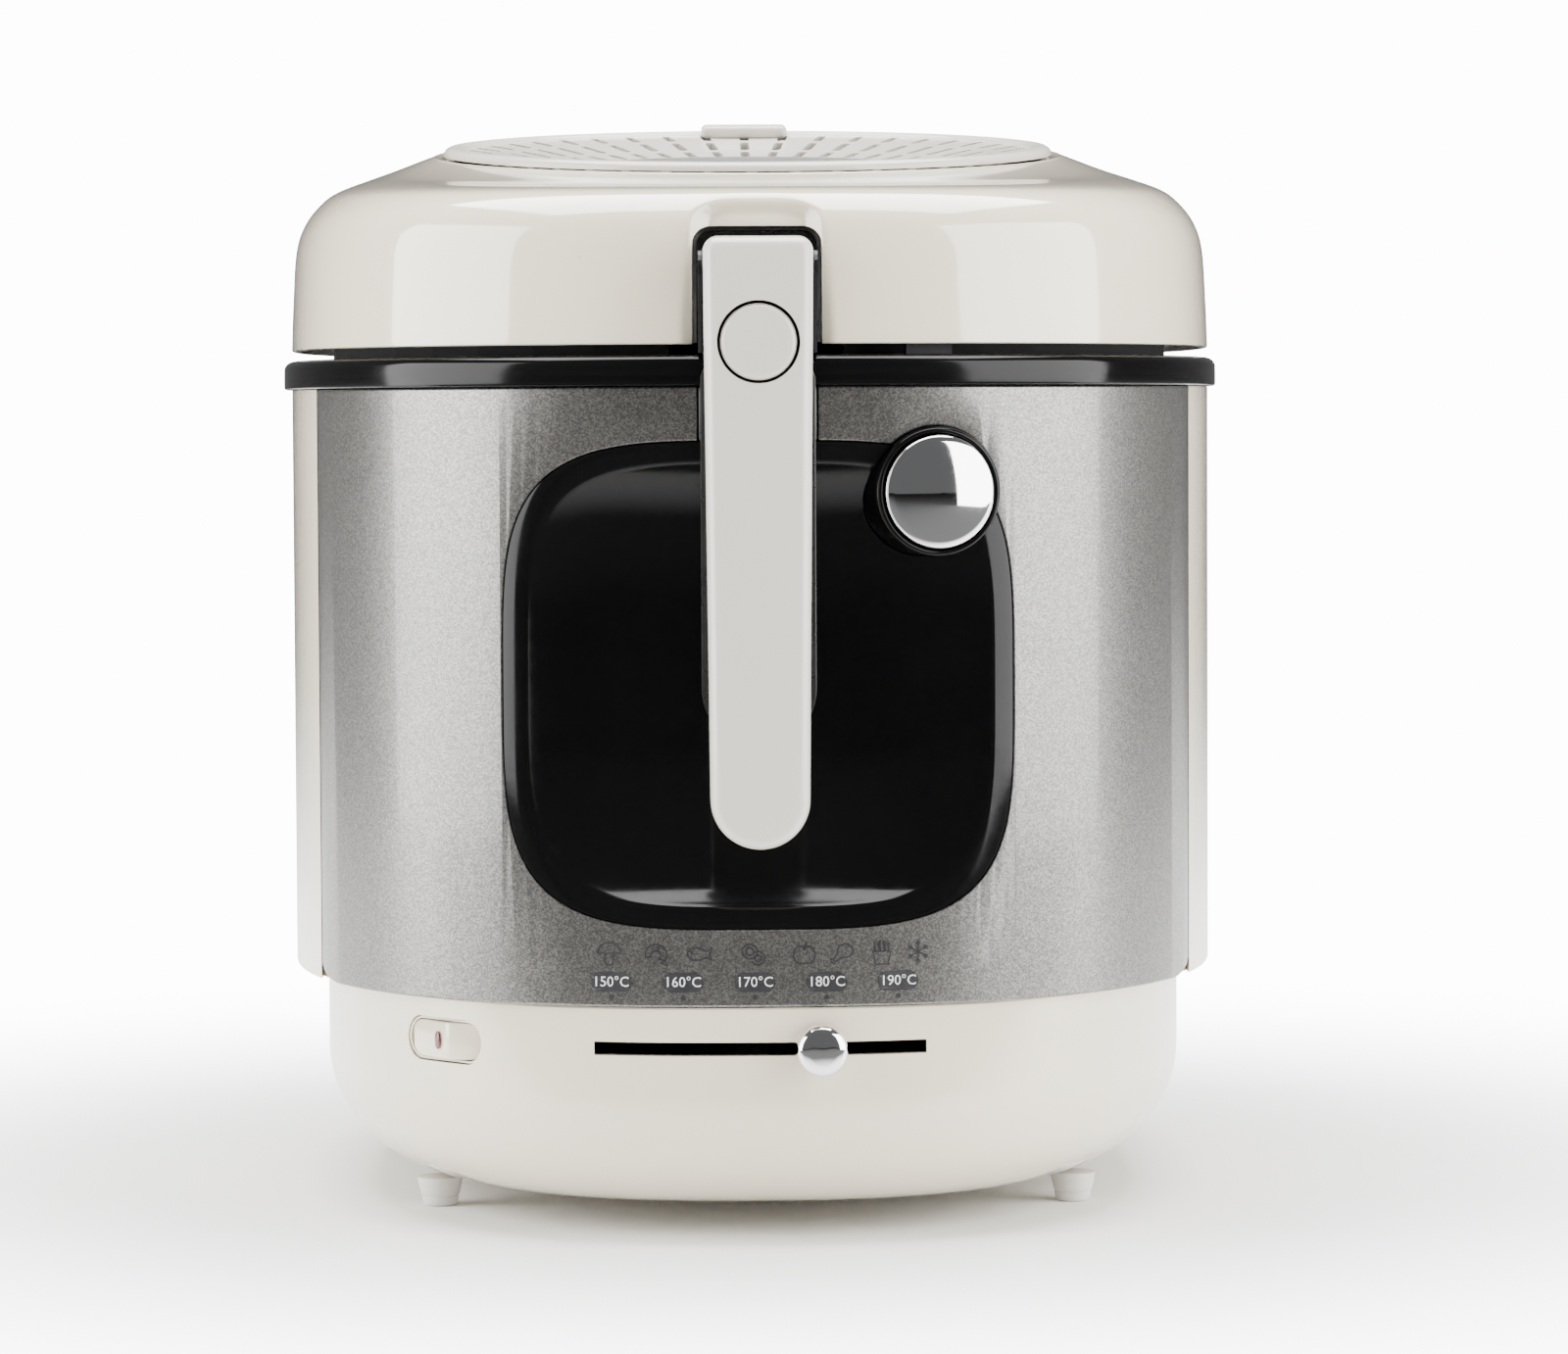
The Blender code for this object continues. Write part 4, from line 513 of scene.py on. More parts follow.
def finish(name, colour, shade_by=0.93, specks=0.0, rough=(0.15, 0.28), smudge_scale=30.0,
           grain=(900.0, 0.02),
           stretch=(1, 1, 1), metallic=0.0, coat=0.0, coat_rough=0.03, ior=1.5, sheen=0.0):
    """A finish with drifting colour, wandering roughness and fine relief."""
    mat = bpy.data.materials.get(name)
    if mat:
        return mat
    mat = bpy.data.materials.new(name)
    mat.use_nodes = True
    nodes, links = mat.node_tree.nodes, mat.node_tree.links
    paint = nodes["Principled BSDF"]
    paint.inputs["Metallic"].default_value = metallic
    paint.inputs["Coat Weight"].default_value = coat
    paint.inputs["Coat Roughness"].default_value = coat_rough
    paint.inputs["IOR"].default_value = ior
    paint.inputs["Sheen Weight"].default_value = sheen
    darker = [channel * shade_by for channel in colour]
    tint = place_group(nodes, tint_group(), Colour=(*colour, 1), Shade=(*darker, 1), Specks=specks)
    smudge = place_group(nodes, smudge_group(), Low=rough[0], High=rough[1], Scale=smudge_scale)
    relief = place_group(nodes, grain_group(), Stretch=stretch, Scale=grain[0], Height=grain[1])
    plug(links, (tint, "Colour", paint, "Base Color"), (smudge, "Roughness", paint, "Roughness"),
         (relief, "Normal", paint, "Normal"))
    return mat


def colours():
    return bpy.context.scene.fryer_colours


def white_finish():
    return finish("white_gloss_plastic", colours().white, 0.965, 0.5, (0.10, 0.17), 22.0, (420.0, 0.025),
                  coat=1.0)


def grip_finish():
    return finish("grip_gloss_plastic", colours().grip, 0.97, 0.2, (0.16, 0.26), 40.0, (500.0, 0.03),
                  coat=0.2)


def black_finish():
    return finish("black_gloss_plastic", colours().black, 0.6, 0.0, (0.07, 0.16), 30.0, (700.0, 0.02),
                  ior=1.26)


def satin_black_finish():
    return finish("black_satin_plastic", (0.011, 0.011, 0.011), 0.8, 0.0, (0.24, 0.36), 60.0, (1500.0, 0.12))


def chrome_finish():
    return finish("mirror_chrome", (0.86, 0.865, 0.875), 0.985, 0.0, (0.025, 0.06), 60.0, (300.0, 0.008),
                  metallic=1.0)


def steel_finish():
    return finish("brushed_steel", (0.56, 0.56, 0.57), 0.85, 0.0, (0.24, 0.42), 80.0, (900.0, 0.10),
                  (1, 1, 12), 1.0)


def wire_finish():
    return finish("tinned_wire", (0.62, 0.62, 0.63), 0.85, 0.0, (0.2, 0.34), 120.0, (1500.0, 0.05),
                  metallic=1.0)


def dark_steel_finish():
    return finish("blackened_steel", (0.030, 0.030, 0.032), 0.8, 0.0, (0.35, 0.5), 90.0, (1200.0, 0.1),
                  metallic=0.9)


def rubber_finish():
    return finish("seal_rubber", (0.018, 0.018, 0.018), 0.8, 0.0, (0.55, 0.75), 60.0, (1800.0, 0.2))


def foot_finish():
    return finish("foot_rubber", (0.66, 0.64, 0.60), 0.92, 0.4, (0.4, 0.6), 90.0, (1500.0, 0.12))


def pale_finish():
    return finish("pale_satin_plastic", (0.66, 0.64, 0.60), 0.95, 0.2, (0.32, 0.45), 30.0, (900.0, 0.10))


def coating_finish():
    return finish("non_stick_coating", (0.030, 0.030, 0.033), 0.75, 0.0, (0.34, 0.5), 40.0, (1400.0, 0.22))


def aluminium_finish():
    return finish("cast_aluminium", (0.66, 0.66, 0.67), 0.85, 0.0, (0.34, 0.5), 50.0, (700.0, 0.3),
                  metallic=1.0)


def element_finish():
    return finish("heat_darkened_tube", (0.12, 0.105, 0.095), 0.6, 0.0, (0.4, 0.6), 90.0, (900.0, 0.25),
                  metallic=0.8)


def felt_finish():
    return finish("filter_felt", (0.050, 0.050, 0.050), 0.5, 0.0, (0.85, 0.97), 60.0, (1300.0, 0.9),
                  sheen=0.3)


def lens_finish():
    return finish("red_window", colours().lens, 0.8, 0.0, (0.08, 0.16), 90.0, (900.0, 0.05), coat=0.5)


def print_finish():
    return finish("dark_print", colours().print_dark, 0.8, 0.0, (0.35, 0.5), 200.0, (2500.0, 0.1))


def light_print_finish():
    return finish("light_print", (0.58, 0.58, 0.58), 0.95, 0.0, (0.4, 0.5), 200.0, (2500.0, 0.1))


def silver_finish():
    """Silver paint with fine flake under a clear coat."""
    mat = bpy.data.materials.get("silver_flake_paint")
    if mat:
        return mat
    mat = bpy.data.materials.new("silver_flake_paint")
    mat.use_nodes = True
    nodes, links = mat.node_tree.nodes, mat.node_tree.links
    paint = nodes["Principled BSDF"]
    paint.inputs["Metallic"].default_value = 0.80
    paint.inputs["Coat Weight"].default_value = 0.40
    paint.inputs["Coat Roughness"].default_value = 0.06
    base = colours().silver
    flake = place_group(nodes, flake_group(), Colour=(*[c * 0.72 for c in base], 1),
                        Bright=(*[min(c * 1.6, 1) for c in base], 1), Scale=2600.0, Lean=0.10)
    smudge = place_group(nodes, smudge_group(), Low=0.29, High=0.34, Scale=18.0)
    plug(links, (flake, "Colour", paint, "Base Color"), (flake, "Normal", paint, "Normal"),
         (smudge, "Roughness", paint, "Roughness"))
    return mat


# ---------------------------------------------------------------- base and casing
def body():
    return bpy.context.scene.fryer_body


def lid():
    return bpy.context.scene.fryer_lid


def controls():
    return bpy.context.scene.fryer_controls


def base_halves():
    return BASE_HIGH[0], BASE_HIGH[1]


def base_rings(wall, top):
    """Rings up the base: a rounded floor, then upright walls."""
    radius = body().base_radius - wall
    places = []
    for i in range(15):
        a = math.pi / 2 * i / 14
        inset = wall + radius * (1 - math.sin(a))
        rise = BASE_LOW[2] + wall + radius * (1 - math.cos(a))
        places.append(level(BASE_HIGH[0] - inset, BASE_HIGH[1] - inset, rise))
    places.append(level(BASE_HIGH[0] - wall, BASE_HIGH[1] - wall, top))
    return places


def oval_tool(name, half_length, half_height, low, high, matrix):
    points = [(u, v, low) for u, v in stadium(half_length, half_height)]
    return turn_piece(prism(name, points, (0, 0, high - low)), matrix)


def round_tool(name, radius, low, high, matrix=Matrix.Identity(4), steps=64):
    points = [(x, y, low) for x, y in arc((0, 0), radius, 0, 360 - 360 / steps, steps - 1)]
    return turn_piece(prism(name, points, (0, 0, high - low)), matrix)


def box_tool(name, low, high):
    """A box by its corners, for cutting."""
    start()
    bpy.ops.mesh.primitive_cube_add(size=1)
    obj = bpy.context.object
    obj.name = name
    size = [b - a for a, b in zip(low, high)]
    middle = [(a + b) / 2 for a, b in zip(low, high)]
    return turn_piece(obj, Matrix.Translation(middle) @ Matrix.Diagonal((*size, 1)))


def switch_matrix():
    return front_matrix(-0.0945, joint("power_switch")["pos_m"][2], *base_halves())


class BaseSkin(bpy.types.Operator):
    """White base with a rounded floor, the temperature slot and the switch opening"""
    bl_idname = "fryer.base_skin"
    bl_label = "Base"

    def execute(self, context):
        top = BASE_HIGH[2]
        c = controls()
        outer = base_rings(0.0, top - 0.0005) + [level(BASE_HIGH[0] - 0.0005, BASE_HIGH[1] - 0.0005, top)]
        inner = list(reversed(base_rings(0.003, top)))
        obj = skin("base_skin", PLAN_STEPS, outer + inner)
        reach, rise = c.slot_half_length, c.slot_width / 2
        slot = [(reach * x, -0.3, c.slot_z + rise * z) for x, z in ((-1, -1), (1, -1), (1, 1), (-1, 1))]
        cut(obj, prism("slot_tool", slot, (0, 0.135, 0)))
        cut(obj, oval_tool("switch_tool", 0.0168, 0.00665, -0.03, 0.02, switch_matrix()))
        inlet = Matrix.Translation((0, BASE_HIGH[1], 0.052)) @ Matrix.Rotation(-math.pi / 2, 4, "X")
        cut(obj, round_tool("inlet_tool", 0.0073, -0.02, 0.02, inlet))
        for i in range(4):
            low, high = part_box(f"base_screw_{i + 1}")
            spot = Matrix.Translation(((low[0] + high[0]) / 2, (low[1] + high[1]) / 2, 0))
            cut(obj, round_tool("screw_tool", 0.0020, 0.0, 0.03, spot, 24))
        shade(obj)
        dress(obj, white_finish(), "housing", ["base_tray"])
        return {"FINISHED"}


class Feet(bpy.types.Operator):
    """Four tapered feet with soft tips"""
    bl_idname = "fryer.feet"
    bl_label = "Feet"

    def execute(self, context):
        radius = (FOOT_HIGH[0] - FOOT_LOW[0]) / 2
        top = FOOT_HIGH[2]
        profile = [(0, 0), (radius * 0.60, 0), (radius * 0.70, 0.0002), (radius * 0.76, 0.0008),
                   (radius * 0.80, 0.0020), (radius * 0.815, 0.0028), (radius * 0.785, 0.0030),
                   (radius * 0.785, 0.0033), (radius * 0.84, 0.0035), (radius * 0.93, 0.0062),
                   (radius, top), (0, top)]
        first = turned("foot_pattern", profile, 64)
        for name in ("foot_front_left", "foot_front_right", "foot_rear_left", "foot_rear_right"):
            low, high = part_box(name)
            foot = first.copy()
            foot.data = first.data.copy()
            foot.name = "shown_" + name
            context.collection.objects.link(foot)
            turn_piece(foot, Matrix.Translation(((low[0] + high[0]) / 2, (low[1] + high[1]) / 2, 0)))
            dress(foot, foot_finish(), "housing", [name])
        bpy.data.objects.remove(first, do_unlink=True)
        return {"FINISHED"}


def front_strip(name, half_width, low, high, outset, inset, columns=96):
    """A curved strip of the front wall, between two heights and two depths."""
    h, d = body().half_width, body().half_depth
    places = []
    for i in range(columns + 1):
        x = -half_width + 2 * half_width * i / columns
        outer = surface_y(x, h + outset, d + outset)
        inner = surface_y(x, h - inset, d - inset)
        places.append(along([(x, outer, low), (x, outer, high), (x, inner, high), (x, inner, low)]))
    return skin(name, 4, places, angle=30)


class Casing(bpy.types.Operator):
    """Upright white casing, open where the front panel sits"""
    bl_idname = "fryer.casing"
    bl_label = "Casing"

    def execute(self, context):
        h, d, wall = body().half_width, body().half_depth, body().wall
        low, high = CASING_LOW[2], CASING_HIGH[2]
        flange = 0.0161
        edge = 0.0007
        places = [level(h - edge, d - edge, low), level(h - edge * 0.3, d - edge * 0.3, low + edge * 0.3),
                  level(h, d, low + edge)]
        places += [level(h, d, low + edge + (high - low - edge) * i / 6) for i in range(1, 7)]
        places += [level(h - wall, d - wall, high), level(h - wall, d - wall, low + wall),
                   level(h - flange, d - flange, low + wall), level(h - flange, d - flange, low)]
        obj = skin("casing", PLAN_STEPS, places, "bridged")
        cut(obj, front_strip("opening_tool", body().panel_half_width + GAP, low - 0.005, high + 0.005, 0.01,
                             wall + GAP))
        shade(obj)
        dress(obj, white_finish(), "housing", ["body_shell"])
        return {"FINISHED"}


def squircle(half_width, half_height, steps=192):
    middle = (RECESS_LOW[2] + RECESS_HIGH[2]) / 2
    points = []
    for i in range(steps):
        x, z = outline(half_width, half_height, RECESS_POWER, i / steps)
        points.append((x, middle + z))
    return points


def recess_halves():
    return RECESS_HIGH[0], (RECESS_HIGH[2] - RECESS_LOW[2]) / 2


def button_matrix():
    """Frame on the front wall at the middle of the lid button."""
    return front_matrix(0.0522, 0.2211, body().half_width, body().half_depth)


class FrontPanel(bpy.types.Operator):
    """Silver front panel with soft edges, open for the recess, the channel and the lid button"""
    bl_idname = "fryer.front_panel"
    bl_label = "Front panel"

    def execute(self, context):
        b = body()
        low, high = PANEL_LOW[2], PANEL_HIGH[2]
        wide, radius = b.panel_half_width, b.panel_corner
        obj = front_strip("panel_skin", wide, low, high, 0, b.wall, 120)
        points = [(wide, high + 0.01), (-wide, high + 0.01)]
        points += arc((-wide + radius, low + radius), radius, 180, 270, 10)
        points += arc((wide - radius, low + radius), radius, 270, 360, 10)
        trim = prism("corner_tool", [(x, -0.3, z) for x, z in points], (0, 0.3, 0))
        cut(obj, trim, "INTERSECT")
        half_width, half_height = recess_halves()
        hole = squircle(half_width + GAP, half_height + GAP)
        cut(obj, prism("recess_tool", [(x, -0.3, z) for x, z in hole], (0, 0.17, 0)))
        reach = 0.0172 + GAP
        cut(obj, box_tool("channel_tool", (-reach, -0.3, 0.165), (reach, -0.13, high + 0.01)))
        cut(obj, round_tool("button_tool", 0.0193, -0.03, 0.03, button_matrix()))
        apply(obj, "BEVEL", width=0.0006, segments=3, limit_method="ANGLE", angle_limit=math.radians(50),
              use_clamp_overlap=False, harden_normals=False)
        shade(obj, 35)
        dress(obj, silver_finish(), "housing", ["front_panel"])
        return {"FINISHED"}


def recess_depth(share):
    """Depth of the recess below the panel: a bevelled frame, then a dish with a flat middle."""
    rim = 0.915
    frame_depth = 0.0016
    if share >= rim:
        t = (1 - share) / (1 - rim)
        return frame_depth * t ** 1.4
    return frame_depth + (body().recess_depth - frame_depth) * (1 - (share / rim) ** 5)


class RecessPlate(bpy.types.Operator):
    """Black dished plate behind the handle, with its bevelled frame"""
    bl_idname = "fryer.recess_plate"
    bl_label = "Recess"

    def execute(self, context):
        half_width, half_height = recess_halves()
        d = body().half_depth

        def ring(share, back):
            points = []
            for x, z in squircle(half_width * share, half_height * share):
                bow = (surface_y(x, body().half_width, d) + d) * share ** 2
                points.append((x, -d + bow + recess_depth(min(share, 1.0)) + back, z))
            return along(points)

        shares = [0.04, 0.2, 0.35, 0.5, 0.6, 0.68, 0.74, 0.79, 0.83, 0.86, 0.885, 0.9, 0.91, 0.918, 0.93,
                  0.95,
                  0.975, 0.99, 0.997, 1.0]
        places = [ring(share, 0) for share in shares] + [ring(share,
                                                              0.002) for share in reversed(shares[::2])]
        obj = skin("recess_plate", 192, places, angle=40)
        cut(obj, round_tool("collar_tool", 0.0193, -0.03, 0.03, button_matrix()))
        shade(obj, 40)
        dress(obj, black_finish(), "housing", ["handle_recess"])
        low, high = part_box("handle_channel")
        strip = box_tool("channel_strip", low, high)
        apply(strip, "BEVEL", width=0.0006, segments=3)
        shade(strip)
        dress(strip, satin_black_finish(), "housing", ["handle_channel"])
        return {"FINISHED"}


class RimRing(bpy.types.Operator):
    """Black ring that caps the casing and carries the bowl"""
    bl_idname = "fryer.rim_ring"
    bl_label = "Ring"

    def execute(self, context):
        wide, deep = RING_HIGH[0], RING_HIGH[1]
        low, top = RING_LOW[2], RING_HIGH[2]
        seat = BOWL_HIGH[2] - 0.0018
        outer = [(0.0006, low), (0.0001, low + 0.0003), (0.0, low + 0.0009), (0.0, low + 0.004)]
        radius = 0.0030
        for i in range(1, 9):
            a = math.pi / 2 * i / 8
            outer.append((radius * (1 - math.cos(a)), top - radius + radius * math.sin(a)))
        places = [level(wide - inset, deep - inset, z) for inset, z in outer]
        step_w, step_d = BOWL_HIGH[0] + 0.0005, BOWL_HIGH[1] + 0.0005
        places += [level(step_w, step_d, top), level(step_w, step_d, seat)]
        places += [level(step_w - 0.007, step_d - 0.007, seat), level(step_w - 0.007, step_d - 0.007, low)]
        obj = skin("ring_skin", PLAN_STEPS, places, "bridged")
        hook = box_tool("hook_tool", (-0.0076, 0.02, -0.0127), (0.0076, 0.06, -0.0058))
        cut(obj, turn_piece(hook, button_matrix()))
        for i in range(2):
            lo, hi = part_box(f"bracket_screw_{i + 1}")
            spot = Matrix.Translation(((lo[0] + hi[0]) / 2, (lo[1] + hi[1]) / 2, 0))
            cut(obj, round_tool("screw_tool", 0.0019, 0.24, 0.27, spot, 24))
        shade(obj)
        dress(obj, black_finish(), "housing", ["rim_ring"])
        return {"FINISHED"}


# ---------------------------------------------------------------- lid
LID_LEVELS = (           # inset in width, inset in depth, height, share of the tilt, outline power
    (0.0000, 0.0000, 0.2646, 0.00, 2.50),
    (0.0006, 0.0006, 0.2800, 0.00, 2.50),
    (0.0017, 0.0018, 0.2960, 0.02, 2.50),
    (0.0045, 0.0045, 0.3050, 0.10, 2.50),
    (0.0095, 0.0100, 0.3120, 0.22, 2.50),
    (0.0150, 0.0170, 0.3165, 0.35, 2.50),
    (0.0240, 0.0290, 0.3205, 0.55, 2.45),
    (0.0340, 0.0480, 0.3240, 0.80, 2.30),
    (0.0447, 0.0832, 0.3280, 1.00, 2.00),
)
TILT = -COVER_AXIS.y / COVER_AXIS.z
LID_STEPS = 420


def crowd(turn):
    """Crowd the corners of an outline at the front."""
    u = turn - 0.75
    if u < -0.5:
        u += 1
    share = 0.22
    return 0.75 + u * (share + (1 - share) * (2 * abs(u)) ** 1.2)


def niche_share(x, z):
    """How far a spot on the lid's front lies inside the soft hollow around the notch."""
    n = lid()
    side = 0.0228 + (n.notch_half_width + 0.0009 - 0.0228) * (z - 0.264) / 0.0367
    brow = n.notch_top + 0.0093 - 0.0070 * (abs(x) / 0.0200) ** 4
    beside, below = (side - abs(x)) * 0.9, brow - z
    blend = 0.0007
    inside = -blend * math.log(math.exp(-beside / blend) + math.exp(-max(below, -0.02) / blend))
    return smoothstep(-0.0004, 0.0062, inside)


def lid_place(station, wall=0.0):
    wide, deep, z, tilt, power = station
    z += LID_LOW[2] - LID_LEVELS[0][2]
    slope = min(wide / 0.030, 1.0)
    side = wall * (1 - 0.75 * slope)
    half_width, half_depth = LID_HIGH[0] - wide - side, LID_HIGH[1] - deep - side

    def place(turn):
        x, y = outline(half_width, half_depth, power, crowd(turn))
        height = z - wall * slope + tilt * TILT * y
        if y < 0 and abs(x) < 0.03:
            y += lid().scoop * niche_share(x, height)
        return Vector((x, y, height))
    return place


def notch_points(inset, low):
    n = lid()
    wide, top, radius = n.notch_half_width - inset, n.notch_top - inset, 0.0057 - inset
    points = [(-wide, low), (wide, low)]
    points += arc((wide - radius, top - radius), radius, 0, 90, 10)
    points += arc((-wide + radius, top - radius), radius, 90, 180, 10)
    return points


def notch_tool(name, inset, low, front, back):
    points = [(x, front, z) for x, z in notch_points(inset, low)]
    return prism(name, points, (0, back - front, 0))


class LidShell(bpy.types.Operator):
    """White lid: upright wall, soft shoulder, sloping top and the hollow around the notch"""
    bl_idname = "fryer.lid_shell"
    bl_label = "Lid"

    def execute(self, context):
        lip = (0.0007, 0.0007, 0.2646, 0, 2.5)
        stations = [lip, (0.0001, 0.0001, 0.2649, 0, 2.5)]
        stations += [curve_through(LID_LEVELS, 0.012 + (1 - 0.012) * i / 84) for i in range(85)]
        places = [lid_place(station) for station in stations]
        r = lid().cover_radius

        def seat(radius, z):
            def place(turn):
                x, y = outline(radius, radius, 2.0, crowd(turn))
                return Vector((x, y, z + TILT * y))
            return place

        crown = lid().crown
        places += [seat(r + 0.0030, crown), seat(r + 0.0006, crown - 0.0006),
                   seat(r + 0.0003, crown - 0.0016),
                   seat(r - 0.0035, crown - 0.0016), seat(r - 0.0035, crown - body().wall)]
        places += [lid_place(curve_through(LID_LEVELS, 1 - i / 56), body().wall) for i in range(57)]
        obj = skin("lid_skin", LID_STEPS, places, "bridged")
        cut(obj, notch_tool("notch_tool", 0, LID_LOW[2] - 0.01, -0.30, -0.1640))
        shade(obj)
        dress(obj, white_finish(), "lid", ["lid_shell"])
        return {"FINISHED"}


class Niche(bpy.types.Operator):
    """Black niche that lines the notch around the top of the handle"""
    bl_idname = "fryer.niche"
    bl_label = "Niche"

    def execute(self, context):
        low = LID_LOW[2] + 0.0005
        outer = notch_points(GAP, low)
        front = []
        for x, z in outer:
            inset = curve_through([(station[2], station[1]) for station in LID_LEVELS[:5]],
                                  min(max((z - 0.2646) / 0.0474, 0), 1))[1]
            y = surface_y(x, LID_HIGH[0] - inset, LID_HIGH[1] - inset)
            front.append((x, y + lid().scoop * niche_share(x, z) + 0.0006, z))
        back = [(x, -0.1643, z) for x, z in outer]
        obj = skin("niche", len(outer), [along(front), along(back)], angle=30)
        cut(obj, notch_tool("niche_tool", GAP + 0.001, low - 0.01, -0.30, -0.1655))
        shade(obj)
        dress(obj, satin_black_finish(), "lid", ["notch_liner"])
        return {"FINISHED"}


class LidLining(bpy.types.Operator):
    """Pale inner skin of the lid, which carries the seal and the filter"""
    bl_idname = "fryer.lid_lining"
    bl_label = "Lid lining"

    def execute(self, context):
        wall = 0.0015
        wide, deep = BOWL_HIGH[0] - 0.0075, BOWL_HIGH[1] - 0.0075
        shapes = ((0.0100, 0.0100, 0.2670, 0, 2.5), (0.0030, 0.0030, 0.2670, 0, 2.5),
                  (-0.006, -0.008, 0.2830, 0.1, 2.5), (-0.024, -0.040, 0.2960, 0.6, 2.3))
        cup = lid().crown - 0.024
        radius = (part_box("filter_cartridge")[1][0])

        def ring(shape, lift):
            w, d, z, tilt, power = shape
            return level(wide + w, deep + d, z + lift - 0.0003, power, tilt * TILT)

        rims = [level(radius + 0.006, radius + 0.006, cup, 2.0, TILT),
                level(radius - 0.006, radius - 0.006, cup, 2.0, TILT)]
        upper = [level(radius - 0.006, radius - 0.006, cup + wall, 2.0, TILT),
                 level(radius + 0.006, radius + 0.006, cup + wall, 2.0, TILT)]
        places = [ring(shape, 0) for shape in shapes] + rims + upper
        places += [ring(shape, wall) for shape in reversed(shapes)]
        obj = skin("lid_lining", 160, places, "bridged", 30)
        gap = lid().notch_half_width + 0.001
        cut(obj, box_tool("lining_tool", (-gap, -0.3, 0.25), (gap, -0.1635, 0.32)))
        shade(obj)
        dress(obj, pale_finish(), "lid", ["lid_inner_panel"])
        return {"FINISHED"}


def crown_matrix():
    """Frame on the lid's sloping top: local Z along its normal."""
    return Matrix.Translation((0, 0, lid().crown)) @ Matrix.Rotation(math.atan(TILT), 4, "X")


class FilterCover(bpy.types.Operator):
    """Round dished cover with rings of slots, a grey middle and a lifting tab"""
    bl_idname = "fryer.filter_cover"
    bl_label = "Filter cover"

    def execute(self, context):
        n = lid()
        r, wall, dish = n.cover_radius, 0.0026, 0.005
        top = [(0.0, -dish), (0.02, -dish), (0.04, -dish), (0.052, -dish), (0.0545, -dish + 0.0002),
               (0.0560, -dish + 0.0010), (0.0575, -dish + 0.0012), (0.066, -dish + 0.0024),
               (0.076, -dish + 0.0042), (0.085, 0.0007), (r - 0.0062, 0.0017), (r - 0.0056, 0.0025),
               (r - 0.0048, 0.0029), (r - 0.0035, 0.0031), (r - 0.0018, 0.0029), (r - 0.0006, 0.0022),
               (r, 0.0012), (r, GAP)]
        under = [(r - 0.0065, GAP), (0.085, 0.0007 - wall), (0.066, -dish + 0.0024 - wall),
                 (0.0560, -dish - wall + 0.0008), (0.02, -dish - wall), (0.0, -dish - wall)]
        obj = turned("cover_skin", list(reversed(under)) + list(reversed(top)), 160)
        slots = []
        for middle, length in ((0.0625, 0.0085), (0.0745, 0.0112), (0.0868, 0.0088)):
            for i in range(n.columns):
                points = [(u + middle, v, -0.02) for u, v in stadium(length / 2, n.slot_width / 2, 6)]
                slot = prism("slot_tool", points, (0, 0, 0.04))
                slots.append(turn_piece(slot, Matrix.Rotation(TAU * (i + 0.5) / n.columns, 4, "Z")))
        cut(obj, join("slot_tools", slots))
        tab = box_tool("tab_shape", (-0.0145, r - 0.0125, 0.0008), (0.0145, r - 0.0004, 0.0052))
        apply(tab, "BEVEL", width=0.0018, segments=5)
        cut(obj, tab, "UNION")
        shade(obj)
        dress(obj, grip_finish(), "filter_lid", ["filter_cover"])
        turn_piece(obj, crown_matrix())
        disc = turned("cover_disc", [(0.0, -dish + 0.0001), (0.0520, -dish + 0.0001),
                                     (0.0532, -dish + 0.0004),
                                     (0.0534, -dish + 0.0012), (0.0528, -dish + 0.0016), (0.03,
                                                                                          -dish + 0.0017),
                                     (0.0, -dish + 0.0018)], 160)
        turn_piece(disc, crown_matrix())
        dress(disc, disc_finish(), "filter_lid", [])
        return {"FINISHED"}


def disc_finish():
    return finish("grey_disc_plastic", (0.125, 0.125, 0.128), 0.9, 0.0, (0.28, 0.4), 40.0, (1200.0, 0.08))


# ---------------------------------------------------------------- handle
def handle_points(inset, low=None, corner=0.0045):
    """Front view of the handle: a tapered bar with a full round lower end."""
    low = GRIP_LOW[2] if low is None else low
    top = GRIP_HIGH[2] - inset
    wide = GRIP_HIGH[0] - inset
    narrow = wide - 0.0015
    radius = max(corner - inset, 0.0006)
    points = arc((wide - radius, top - radius), radius, 0, 90, 12)
    points += arc((-wide + radius, top - radius), radius, 90, 180, 12)
    points += arc((0, low + inset + narrow), narrow, 180, 360, 48)
    return points


def handle_ring(inset, y, low=None):
    return along([(x, y, z) for x, z in handle_points(inset, low)])


